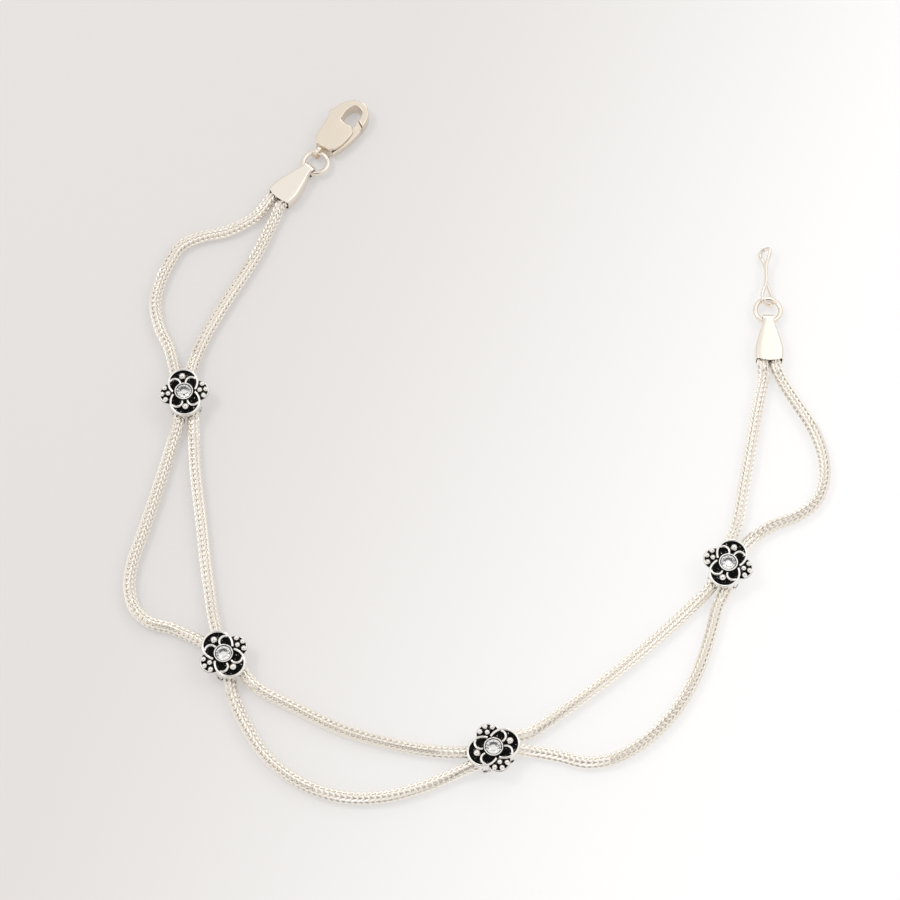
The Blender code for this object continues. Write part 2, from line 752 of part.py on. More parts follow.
def strand_points(route, side):
    knots = strand_knots(route, side)
    step = strand_points_apart * strand_width
    points = [knots[0]]
    straight = {0, len(knots) - 2}
    place = 2
    for number in range(len(slider_places)):
        place += len(route[number])
        straight.add(place)
        place += 2
    for i in range(len(knots) - 1):
        if i in straight:
            points.append(knots[i + 1])
            continue
        pieces = max(1, round((knots[i + 1] - knots[i]).length / step))
        points += [smooth_point(knots, i, k / pieces) for k in range(1, pieces + 1)]
    return points


def strand(name, route, side):
    points = strand_points(route, side)
    curve = bpy.data.curves.new(name, "CURVE")
    curve.dimensions = "3D"
    curve.bevel_depth = strand_radius
    curve.bevel_resolution = strand_sides_resolution
    curve.use_fill_caps = True
    spline = curve.splines.new("POLY")
    spline.points.add(len(points) - 1)
    for target, point in zip(spline.points, points):
        target.co = (*point, 1.0)
    made = bpy.data.objects.new(name, curve)
    bpy.context.scene.collection.objects.link(made)
    return made


# The whole anklet

def centre_on_origin(root):
    """Moves the root so that the middle of the anklet's base is the origin."""
    bpy.context.view_layer.update()
    corners = []
    graph = bpy.context.evaluated_depsgraph_get()
    for item in bpy.data.objects:
        if item.type == "EMPTY":
            continue
        mesh = item.evaluated_get(graph).to_mesh()
        corners += [item.matrix_world @ vertex.co for vertex in mesh.vertices]
        item.evaluated_get(graph).to_mesh_clear()
    low = [min(corner[axis] for corner in corners) for axis in range(3)]
    high = [max(corner[axis] for corner in corners) for axis in range(3)]
    root.location = (-(low[0] + high[0]) / 2, -(low[1] + high[1]) / 2, -low[2])
    bpy.context.view_layer.update()
    return root.location


def copy_of(piece, name, parent):
    made = piece.copy()
    made.name = name
    bpy.context.scene.collection.objects.link(made)
    made.parent = parent
    return made


def build_anklet():
    clear_scene()
    silver = material("silver", silver_colour, 1.0, 0.25)
    chain_silver = material("chain_silver", silver_colour, 1.0, 0.3)
    clear_stone = material("clear_stone", stone_colour, 0.0, 0.02, 0.9)
    root = empty("anklet", (0, 0, 0), 0.0, None)

    for name, route, side in (("outer_strand", outer_route, 1), ("inner_strand", inner_route, -1)):
        made = strand(name, route, side)
        made.data.materials.append(chain_silver)
        made.parent = root

    first_slider = None
    first_stone = None
    for number, (x, y, degrees) in enumerate(slider_places, start=1):
        centre = (x * route_unit, y * route_unit, 0)
        place = empty(f"slider_{number}_place", centre, math.radians(degrees), root)
        if first_slider is None:
            first_slider = finished(slider_body(), "slider_1", silver, place)
            first_stone = finished(stone(), "stone_1", clear_stone, place)
        else:
            copy_of(first_slider, f"slider_{number}", place)
            copy_of(first_stone, f"stone_{number}", place)

    first_ring = None
    first_cap = None
    for number, (x, y, degrees) in enumerate(ring_places, start=1):
        centre = (x * route_unit, y * route_unit, 0)
        ring_place = empty(f"ring_{number}_place", centre, math.radians(degrees), root)
        cap_place, heading = cap_pose(number - 1)
        cap_place = empty(f"cap_{number}_place", (*cap_place, 0), heading, root)
        if first_ring is None:
            first_ring = finished(jump_ring(), "jump_ring_1", silver, ring_place)
            first_cap = finished(end_cap(), "end_cap_1", silver, cap_place)
        else:
            copy_of(first_ring, f"jump_ring_{number}", ring_place)
            copy_of(first_cap, f"end_cap_{number}", cap_place)

    ring_x, ring_y, _ = ring_places[0]
    eye_x = ring_x * route_unit + ring_radius * math.cos(clasp_direction_on_ring)
    eye_y = ring_y * route_unit + ring_radius * math.sin(clasp_direction_on_ring)
    clasp_place = empty("clasp_place", (eye_x, eye_y, 0), clasp_heading, root)
    finished(clasp_body(), "clasp_body", silver, clasp_place)
    pivot_x, pivot_y = at_clasp_size([lever_pivot])[0]
    lever_axis = empty("lever_axis", (pivot_x, pivot_y, 0), 0.0, clasp_place)
    finished(clasp_lever(), "clasp_lever", silver, lever_axis)

    ring_x, ring_y, _ = ring_places[1]
    ring_centre = (ring_x * route_unit, ring_y * route_unit)
    link_x, link_y = from_frame(ring_centre, link_heading, link_into_ring, 0)
    link_place = empty("link_place", (link_x, link_y, 0), link_heading, root)
    finished(figure_eight(), "figure_eight", silver, link_place)

    centre_on_origin(root)
    pivot = lever_axis.matrix_world.translation
    print("moved by, mm:", [round(shift / mm, 3) for shift in root.location])
    print("lever pivot, m:", [round(value, 6) for value in pivot])


build_anklet()
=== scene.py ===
import math

import bmesh
import bpy
from mathutils import Matrix, Vector
from mathutils.geometry import tessellate_polygon


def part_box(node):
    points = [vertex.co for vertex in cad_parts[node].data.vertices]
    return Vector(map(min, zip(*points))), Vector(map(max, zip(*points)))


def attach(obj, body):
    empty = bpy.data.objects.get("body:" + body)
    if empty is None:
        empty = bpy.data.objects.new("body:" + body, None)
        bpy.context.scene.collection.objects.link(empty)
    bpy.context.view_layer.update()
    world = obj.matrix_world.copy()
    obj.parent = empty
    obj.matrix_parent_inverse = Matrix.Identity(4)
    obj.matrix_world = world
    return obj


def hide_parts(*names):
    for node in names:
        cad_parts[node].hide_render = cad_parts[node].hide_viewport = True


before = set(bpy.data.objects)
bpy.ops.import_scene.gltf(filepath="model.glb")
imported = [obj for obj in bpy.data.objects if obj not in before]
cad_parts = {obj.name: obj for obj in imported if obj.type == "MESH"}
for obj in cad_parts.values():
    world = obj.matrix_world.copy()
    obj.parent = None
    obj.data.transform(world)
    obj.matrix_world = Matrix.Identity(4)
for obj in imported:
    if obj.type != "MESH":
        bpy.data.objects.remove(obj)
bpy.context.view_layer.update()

mm = 0.001
sharpAngle = 40  # edges turned by more degrees than this stay sharp
cutSharpAngle = 35  # the same after a cut


# Geometry helpers. A build collects vertices, faces and their material slots before it becomes a mesh

def newBuild():
    return {"verts": [], "faces": [], "slots": [], "depth": []}


def addVert(build, point, depth=1.0):
    build["verts"].append(tuple(point))
    build["depth"].append(depth)
    return len(build["verts"]) - 1


def addFace(build, corners, slot=0):
    build["faces"].append(tuple(corners))
    build["slots"].append(slot)


# Evenly spaced points round a circle; start is a share of one step
def circlePoints(radius, steps, height=0.0, start=0.0):
    turns = [2 * math.pi * (i + start) / steps for i in range(steps)]
    return [Vector((radius * math.cos(turn), radius * math.sin(turn), height)) for turn in turns]


# Cubic between two values, with its slope at either end
def cubic(here, following, start, end, s):
    return ((2 * s ** 3 - 3 * s ** 2 + 1) * here + (s ** 3 - 2 * s ** 2 + s) * start
            + (3 * s ** 2 - 2 * s ** 3) * following + (s ** 3 - s ** 2) * end)


# Round wire along a path, with a radius at each point
def addWire(build, path, radii, sides, closed=False, depths=None):
    count = len(path)
    rings = []
    lift = None
    for i, point in enumerate(path):
        before = path[i - 1] if i or closed else point
        after = path[(i + 1) % count] if i < count - 1 or closed else point
        along = (after - before).normalized()
        if lift is None:
            lift = Vector((0, 0, 1)) if abs(along.z) < 0.9 else Vector((1, 0, 0))
        lift = (lift - along * lift.dot(along)).normalized()
        side = along.cross(lift)
        ring = []
        for k in range(sides):
            turn = 2 * math.pi * k / sides + math.pi / 2
            spot = point + radii[i] * (math.cos(turn) * side + math.sin(turn) * lift)
            ring.append(addVert(build, spot, depths[i] if depths else 1.0))
        rings.append(ring)
    for i in range(count if closed else count - 1):
        here = rings[i]
        following = rings[(i + 1) % count]
        for k in range(sides):
            m = (k + 1) % sides
            addFace(build, (here[k], here[m], following[m], following[k]))
    if not closed:
        addFace(build, list(reversed(rings[0])))
        addFace(build, rings[-1])


def addBall(build, centre, radius, around=20, rows=12):
    first = addVert(build, centre + Vector((0, 0, radius)))
    rings = []
    for j in range(1, rows):
        down = math.pi * j / rows
        height = radius * math.cos(down)
        rings.append([addVert(build, centre + point)
                      for point in circlePoints(radius * math.sin(down), around, height)])
    last = addVert(build, centre - Vector((0, 0, radius)))
    for k in range(around):
        m = (k + 1) % around
        addFace(build, (first, rings[0][k], rings[0][m]))
        addFace(build, (last, rings[-1][m], rings[-1][k]))
    for upper, lower in zip(rings, rings[1:]):
        for k in range(around):
            m = (k + 1) % around
            addFace(build, (upper[k], lower[k], lower[m], upper[m]))


# Closed profile of (radius, height) turned about Z
def addTurned(build, profile, segments, slot=0):
    rings = []
    for i in range(segments):
        turn = 2 * math.pi * i / segments
        rings.append([addVert(build, (r * math.cos(turn), r * math.sin(turn), z)) for r, z in profile])
    for i in range(segments):
        here = rings[i]
        following = rings[(i + 1) % segments]
        for k in range(len(profile)):
            m = (k + 1) % len(profile)
            addFace(build, (here[k], following[k], following[m], here[m]), slot)


# Counter-clockwise outline with every side moved inwards
def drawnIn(outline, inset):
    moved = []
    for i, (x, y) in enumerate(outline):
        here = Vector((x, y))
        arriving = (here - Vector(outline[i - 1])).normalized()
        leaving = (Vector(outline[(i + 1) % len(outline)]) - here).normalized()
        inward = Vector((-arriving.y - leaving.y, arriving.x + leaving.x)).normalized()
        reach = inset / max(inward.dot(Vector((-arriving.y, arriving.x))), 0.5)
        moved.append(tuple(here + inward * reach))
    return moved


# Flat outline raised from bottom to top, with rounded rims
def addPrism(build, outline, bottom, top, edge=0.0, steps=3):
    rows = [(0.0, bottom), (0.0, top)]
    if edge:
        turns = [math.pi / 2 * i / steps for i in range(steps + 1)]
        rows = [(edge * (1 - math.sin(a)), bottom + edge * (1 - math.cos(a))) for a in turns]
        rows += [(edge * (1 - math.cos(a)), top - edge * (1 - math.sin(a))) for a in turns]
    layers = []
    for inset, height in rows:
        flat = drawnIn(outline, inset) if inset else outline
        layers.append([addVert(build, (x, y, height)) for x, y in flat])
    flat = [Vector(build["verts"][v]).xy.to_3d() for v in layers[0]]
    for a, b, c in tessellate_polygon([flat]):
        addFace(build, (layers[0][a], layers[0][b], layers[0][c]))
        addFace(build, (layers[-1][c], layers[-1][b], layers[-1][a]))
    for low, high in zip(layers, layers[1:]):
        for i in range(len(outline)):
            j = (i + 1) % len(outline)
            addFace(build, (low[i], low[j], high[j], high[i]))


# Closed skin over rings of points, with a fan over each end
def addLoft(build, rings):
    rows = [[addVert(build, point) for point in ring] for ring in rings]
    around = len(rings[0])
    for low, high in zip(rows, rows[1:]):
        for k in range(around):
            m = (k + 1) % around
            addFace(build, (low[k], low[m], high[m], high[k]))
    for row, ring in ((rows[0], rings[0]), (rows[-1], rings[-1])):
        middle = addVert(build, sum(ring, Vector((0, 0, 0))) / around)
        for k in range(around):
            addFace(build, (row[k], row[(k + 1) % around], middle))


def newObject(name, data):
    made = bpy.data.objects.new(name, data)
    bpy.context.scene.collection.objects.link(made)
    return made


def toObject(build, name, materials, withDepth=False):
    mesh = bpy.data.meshes.new(name)
    mesh.from_pydata(build["verts"], [], build["faces"])
    for item in materials:
        mesh.materials.append(item)
    mesh.polygons.foreach_set("material_index", build["slots"])
    if withDepth:
        # share of the chain's painted shade at each point, 0 deep inside the strand and 1 at its outside
        depth = mesh.attributes.new("wireShadeDepth", "FLOAT", "POINT")
        depth.data.foreach_set("value", build["depth"])
    tidyNormals(mesh)
    return newObject(name, mesh)


def tidyNormals(mesh, sharp=sharpAngle):
    worked = bmesh.new()
    worked.from_mesh(mesh)
    bmesh.ops.recalc_face_normals(worked, faces=worked.faces)
    worked.to_mesh(mesh)
    worked.free()
    mesh.shade_smooth()
    mesh.set_sharp_from_angle(angle=math.radians(sharp))


# Exact Booleans on base, then the cutters are removed
def cut(base, cutters, operation="DIFFERENCE"):
    for cutter in cutters:
        cutter.hide_render = True
        step = base.modifiers.new(cutter.name, "BOOLEAN")
        step.operation = operation
        step.solver = "EXACT"
        step.object = cutter
    bpy.context.view_layer.update()
    evaluated = base.evaluated_get(bpy.context.evaluated_depsgraph_get())
    mesh = bpy.data.meshes.new_from_object(evaluated)
    base.modifiers.clear()
    base.data = mesh
    for cutter in cutters:
        bpy.data.objects.remove(cutter, do_unlink=True)
    return base


def arcPath(centre, radius, start, end, steps, height):
    return [
        Vector((centre[0] + radius * math.cos(start + (end - start) * i / steps),
                centre[1] + radius * math.sin(start + (end - start) * i / steps), height))
        for i in range(steps + 1)
    ]


# Smooth closed outline through points; the numbered corners stay sharp
def roundedOutline(points, corners, steps):
    count = len(points)
    outline = []
    for i in range(count):
        here = Vector(points[i])
        following = Vector(points[(i + 1) % count])
        before = here if i in corners else Vector(points[i - 1])
        after = following if (i + 1) % count in corners else Vector(points[(i + 2) % count])
        for k in range(steps):
            s = k / steps
            spot = 0.5 * (2 * here + (following - before) * s
                          + (2 * before - 5 * here + 4 * following - after) * s ** 2
                          + (3 * here - before - 3 * following + after) * s ** 3)
            outline.append(tuple(spot))
    return outline


def placed(obj, place, heading):
    obj.location = place
    obj.rotation_euler = (0, 0, heading)
    return obj


# Shader nodes. A value is another node's output or a plain number, place or colour

def feed(links, socket, value):
    if isinstance(value, bpy.types.NodeSocket):
        links.new(value, socket)
    else:
        socket.default_value = value


def addMath(nodes, links, operation, *values):
    step = nodes.new("ShaderNodeMath")
    step.operation = operation
    for socket, value in zip(step.inputs, values):
        feed(links, socket, value)
    return step.outputs[0]


# How far a place or direction reaches along the given one
def addReach(nodes, links, value, along):
    step = nodes.new("ShaderNodeVectorMath")
    step.operation = "DOT_PRODUCT"
    feed(links, step.inputs[0], value)
    feed(links, step.inputs[1], along)
    return step.outputs["Value"]


# From one pair of values to another, evenly or with soft ends
def addRange(nodes, links, value, low, high, toLow=0.0, toHigh=1.0, soft=False):
    step = nodes.new("ShaderNodeMapRange")
    if soft:
        step.interpolation_type = "SMOOTHSTEP"
    for label, part in (("Value", value), ("From Min", low), ("From Max", high), ("To Min", toLow),
                        ("To Max", toHigh)):
        feed(links, step.inputs[label], part)
    return step.outputs["Result"]


def addNoise(nodes, links, place, scale, detail):
    step = nodes.new("ShaderNodeTexNoise")
    for label, part in (("Vector", place), ("Scale", scale), ("Detail", detail)):
        feed(links, step.inputs[label], part)
    return step.outputs["Fac"]


def addColourMix(nodes, links, share, first, second, blend="MIX"):
    step = nodes.new("ShaderNodeMix")
    step.data_type = "RGBA"
    step.blend_type = blend
    for label, part in (("Factor", share), ("A", first), ("B", second)):
        feed(links, step.inputs[label], part)
    return step.outputs["Result"]

def newGroup(name, inputs, outputs):
    group = bpy.data.node_groups.new(name, "ShaderNodeTree")
    for label, kind, value in inputs:
        socket = group.interface.new_socket(name=label, in_out="INPUT", socket_type=kind)
        socket.default_value = value
    for label, kind in outputs:
        group.interface.new_socket(name=label, in_out="OUTPUT", socket_type=kind)
    return group, group.nodes.new("NodeGroupInput"), group.nodes.new("NodeGroupOutput")


# Blackening that sits low in the relief and fades on the wires above it
def makeTarnish():
    group, given, result = newGroup(
        "tarnish",
        [("Ground", "NodeSocketFloat", 0.0), ("Reach", "NodeSocketFloat", 0.2),
         ("Patchy", "NodeSocketFloat", 0.3)],
        [("Mask", "NodeSocketFloat")])
    nodes, links = group.nodes, group.links
    spot = nodes.new("ShaderNodeTexCoord").outputs["Object"]
    split = nodes.new("ShaderNodeSeparateXYZ")
    links.new(spot, split.inputs[0])
    above = addMath(nodes, links, "SUBTRACT", split.outputs["Z"], given.outputs["Ground"])
    share = addMath(nodes, links, "DIVIDE", above, given.outputs["Reach"])
    grain = addNoise(nodes, links, spot, 2600, 3)
    patch = addMath(nodes, links, "MULTIPLY_ADD", grain, given.outputs["Patchy"], share)
    fade = addRange(nodes, links, patch, 0.35, 1.0, 1.0, 0.0, soft=True)
    foot = addRange(nodes, links, above, -0.1 * mm, -0.03 * mm)  # nothing below the ground is blackened
    specks = addNoise(nodes, links, spot, 4200, 2)
    bare = addRange(nodes, links, specks, 0.66, 0.72, 1.0, 0.1)
    kept = addMath(nodes, links, "MULTIPLY", fade, foot)
    links.new(addMath(nodes, links, "MULTIPLY", kept, bare), result.inputs["Mask"])
    return group


# Fine polishing marks as a bump height and a small change of roughness
def makePolish():
    group, given, result = newGroup(
        "polish",
        [("Scale", "NodeSocketFloat", 900.0), ("Roughness", "NodeSocketFloat", 0.15),
         ("Spread", "NodeSocketFloat", 0.08)],
        [("Roughness", "NodeSocketFloat"), ("Height", "NodeSocketFloat")])
    nodes, links = group.nodes, group.links
    spot = nodes.new("ShaderNodeTexCoord").outputs["Object"]
    soft = addNoise(nodes, links, spot, given.outputs["Scale"], 4)
    rough = addMath(nodes, links, "MULTIPLY_ADD", soft, given.outputs["Spread"], given.outputs["Roughness"])
    links.new(rough, result.inputs["Roughness"])
    links.new(soft, result.inputs["Height"])
    return group


tarnish = makeTarnish()
polish = makePolish()


def newMaterial(name):
    made = bpy.data.materials.new(name)
    made.use_nodes = True
    return made, made.node_tree.nodes, made.node_tree.links, made.node_tree.nodes["Principled BSDF"]


def addPolish(nodes, links, shader, scale, roughness, spread, strength):
    marks = nodes.new("ShaderNodeGroup")
    marks.node_tree = polish
    marks.inputs["Scale"].default_value = scale
    marks.inputs["Roughness"].default_value = roughness
    marks.inputs["Spread"].default_value = spread
    bump = nodes.new("ShaderNodeBump")
    bump.inputs["Strength"].default_value = strength
    bump.inputs["Distance"].default_value = 0.02 * mm
    links.new(marks.outputs["Height"], bump.inputs["Height"])
    links.new(bump.outputs["Normal"], shader.inputs["Normal"])
    return marks


silverColour = (0.915, 0.845, 0.765, 1)
claspColour = (0.84, 0.75, 0.64, 1)  # the clasp is a little darker and yellower
chainColour = (0.99, 0.945, 0.88, 1)
diveShadeColour = (0.93, 0.87, 0.79, 1)  # painted shade on the chain's wire where it dives into the strand
brightSilver = (0.93, 0.91, 0.88, 1)  # the sliders, less warm than the caps
blackColour = (0.0015, 0.0015, 0.0015, 1)


def polishedSilver(name, roughness, strength=0.1, colour=silverColour):
    made, nodes, links, shader = newMaterial(name)
    shader.inputs["Base Color"].default_value = colour
    shader.inputs["Metallic"].default_value = 1.0
    marks = addPolish(nodes, links, shader, 700, roughness, 0.06, strength)
    links.new(marks.outputs["Roughness"], shader.inputs["Roughness"])
    return made


# Bright silver whose recesses, near the given height, are oxidised black
def blackenedSilver(name, ground, reach):
    made, nodes, links, shader = newMaterial(name)
    low = nodes.new("ShaderNodeGroup")
    low.node_tree = tarnish
    low.inputs["Ground"].default_value = ground
    low.inputs["Reach"].default_value = reach
    low.inputs["Patchy"].default_value = 0.3
    shader.inputs["Specular IOR Level"].default_value = 0.08
    mask = low.outputs["Mask"]
    links.new(addColourMix(nodes, links, mask, brightSilver, blackColour), shader.inputs["Base Color"])
    links.new(addMath(nodes, links, "SUBTRACT", 1.0, mask), shader.inputs["Metallic"])
    marks = addPolish(nodes, links, shader, 1400, 0.04, 0.08, 0.3)
    rough = addMath(nodes, links, "MULTIPLY_ADD", mask, 0.5, marks.outputs["Roughness"])
    links.new(rough, shader.inputs["Roughness"])
    return made


# Silver wire with painted shade: darker where it dives into the strand
def chainSilver(name):
    made, nodes, links, shader = newMaterial(name)
    shader.inputs["Metallic"].default_value = 1.0
    depth = nodes.new("ShaderNodeAttribute")
    depth.attribute_name = "wireShadeDepth"
    colour = addColourMix(nodes, links, depth.outputs["Fac"], diveShadeColour, chainColour)
    links.new(colour, shader.inputs["Base Color"])
    marks = addPolish(nodes, links, shader, 1200, 0.3, 0.08, 0.1)
    links.new(marks.outputs["Roughness"], shader.inputs["Roughness"])
    return made


def clearStone(name):
    made, nodes, links, shader = newMaterial(name)
    shader.inputs["Base Color"].default_value = (1.0, 1.0, 1.0, 1)
    shader.inputs["Roughness"].default_value = 0.0
    shader.inputs["Metallic"].default_value = 0.0
    shader.inputs["Transmission Weight"].default_value = 1.0
    shader.inputs["IOR"].default_value = 2.1
    return made


# Where things are, in millimetres and degrees: travel runs from cap 1 to cap 2

strand = {"width": 1.9 * mm, "sideGap": 0.16 * mm, "floorGap": 0.1 * mm, "sidePlay": 0.14 * mm,
          "headPlay": 0.15 * mm}
sliderPlaces = [(-48.1, 6.7, -82.5), (-40.2, -38.9, -55.0), (1.9, -54.3, 21.5), (39.3, -23.5, 68.5)]
ringPlaces = [(-27.55, 50.95, 49.3), (47.86, 22.7, 88.7)]
outerRoute = [
    [(-37.5, 40.6), (-42.0, 37.9), (-46.6, 36.7), (-49.9, 34.9), (-51.6, 32.0), (-53.1, 28.0),
     (-53.7, 24.0), (-52.7, 19.4), (-51.0, 15.6)],
    [(-49.7, -0.8), (-51.3, -7.4), (-53.7, -16.4), (-55.4, -22.6), (-55.7, -26.6), (-54.7, -30.3),
     (-52.2, -32.7), (-48.4, -33.8)],
    [(-38.8, -44.8), (-36.6, -49.8), (-32.9, -55.3), (-27.6, -59.4), (-21.6, -61.5), (-15.4, -61.6),
     (-9.4, -60.1), (-4.8, -58.2)],
    [(8.4, -54.3), (11.8, -54.9), (16.6, -56.0), (21.4, -55.0), (26.2, -51.9), (30.6, -47.1),
     (34.0, -41.1), (36.2, -34.9), (37.6, -30.0)],
    [(43.6, -18.3), (46.8, -16.1), (50.9, -14.4), (54.0, -11.9), (55.6, -8.0), (55.6, -3.6),
     (54.2, 1.2), (51.6, 6.1), (49.5, 10.0)],
]
innerRoute = [
    [(-34.4, 40.0), (-37.5, 32.6), (-41.7, 24.9), (-45.5, 17.2)],
    [(-46.4, -0.4), (-45.9, -6.5), (-44.6, -16.0), (-43.1, -26.5)],
    [(-35.0, -43.6), (-29.0, -46.9), (-22.0, -50.4), (-15.2, -52.6), (-8.4, -54.0)],
    [(8.4, -50.7), (14.2, -46.6), (20.4, -41.8), (26.8, -36.3), (32.8, -30.7)],
    [(41.2, -15.8), (42.6, -9.2), (44.0, -2.0), (45.4, 5.1), (46.5, 10.2)],
]

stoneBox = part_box("stone_1")
shift = (stoneBox[0] + stoneBox[1]) / 2 - Vector((sliderPlaces[0][0] * mm, sliderPlaces[0][1] * mm, 0))
shift.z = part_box("slider_1")[0].z


def fromFrame(place, heading, x, y, z=0.0):
    return Vector((place[0] + x * math.cos(heading) - y * math.sin(heading),
                   place[1] + x * math.sin(heading) + y * math.cos(heading), z))


# Flower slider

slider = {
    "lobeRadius": 2.5 * mm, "lobeOffset": 1.75 * mm, "sideRadius": 1.75 * mm, "sideOffset": 2.3 * mm,
    "strap": 0.5 * mm, "strapHalf": 2.6 * mm, "plate": 0.5 * mm,
    "sideThickness": 0.75 * mm, "sideWall": 0.45 * mm,
    "rimWire": 0.44 * mm, "rimOver": 0.06 * mm, "rimHalfAngle": 130,
    "borderWire": 0.24 * mm, "borderHalfAngle": 58, "sink": 0.12 * mm,
    "curlWire": 0.45 * mm, "curlRadius": 0.9 * mm, "curlAlong": 1.62 * mm, "curlAcross": 1.33 * mm,
    "curlStart": 268, "curlEnd": 418,
    "ball": 1.1 * mm, "ballAlong": 2.75 * mm, "grain": 0.86 * mm,
    "grains": [(0.0, 2.6), (0.0, 3.56), (1.02, 3.08), (-1.02, 3.08)],
    "windowRadius": 0.6 * mm, "windowAlong": 2.05 * mm, "windowHeight": 0.95 * mm,
}
gem = {
    "width": 2.4 * mm, "gap": 0.1 * mm, "wall": 0.2 * mm, "lip": 0.1 * mm, "ledge": 0.2 * mm,
    "ledgeHeight": 0.26 * mm, "crown": 0.36 * mm, "girdle": 0.08 * mm, "pavilion": 0.9 * mm,
    # shares of the stone's radius, then the star points' share of the crown and the waist's of the pavilion
    "table": 0.56, "starReach": 0.52, "waist": 0.32, "starHeight": 0.55, "waistDepth": 0.7,
}
strandRadius = strand["width"] / 2
strandSpacing = strand["width"] + strand["sideGap"]
channelHeight = strand["width"] + strand["floorGap"] + strand["headPlay"]
channelHalf = strandSpacing / 2 + strandRadius + strand["sidePlay"]
plateTop = slider["strap"] + channelHeight + slider["plate"]
ledgeTop = plateTop + gem["ledgeHeight"]
girdleBottom = ledgeTop + gem["pavilion"] * (1 - (gem["width"] / 2 + gem["gap"] - gem["ledge"])
                                             / (gem["width"] / 2)) + gem["gap"]

sliderSilver = blackenedSilver("sliderSilver", plateTop, 0.12 * mm)
seatSilver = blackenedSilver("seatSilver", ledgeTop, 3 * mm)
plainSilver = polishedSilver("plainSilver", 0.12)
capSilver = polishedSilver("capSilver", 0.2)
claspSilver = polishedSilver("claspSilver", 0.2, colour=claspColour)
chainShadedSilver = chainSilver("chainShadedSilver")
stoneFinish = clearStone("stoneFinish")


def sliderOutline(steps=96):
    lobes = []
    for side in (1, -1):
        lobes += [(side * slider["lobeOffset"], 0.0, slider["lobeRadius"]),
                  (0.0, side * slider["sideOffset"], slider["sideRadius"])]
    outline = []
    for i in range(steps):
        turn = 2 * math.pi * (i + 0.5) / steps
        ray = (math.cos(turn), math.sin(turn))
        reach = 0.0
        for x, y, radius in lobes:
            toward = x * ray[0] + y * ray[1]
            inside = radius ** 2 - (x ** 2 + y ** 2 - toward ** 2)
            if inside > 0:
                reach = max(reach, toward + math.sqrt(inside))
        outline.append((reach * ray[0], reach * ray[1]))
    return outline


def simplePrism(name, outline, bottom, top):
    made = newBuild()
    addPrism(made, outline, bottom, top)
    return toObject(made, name, [])


def simpleCylinder(name, radius, depth, steps, place, axis="Z"):
    made = simplePrism(name, [tuple(p.xy) for p in circlePoints(radius, steps)], -depth / 2, depth / 2)
    if axis == "Y":
        made.data.transform(Matrix.Rotation(math.pi / 2, 4, "X"))
    made.data.transform(Matrix.Translation(Vector(place)))
    return made


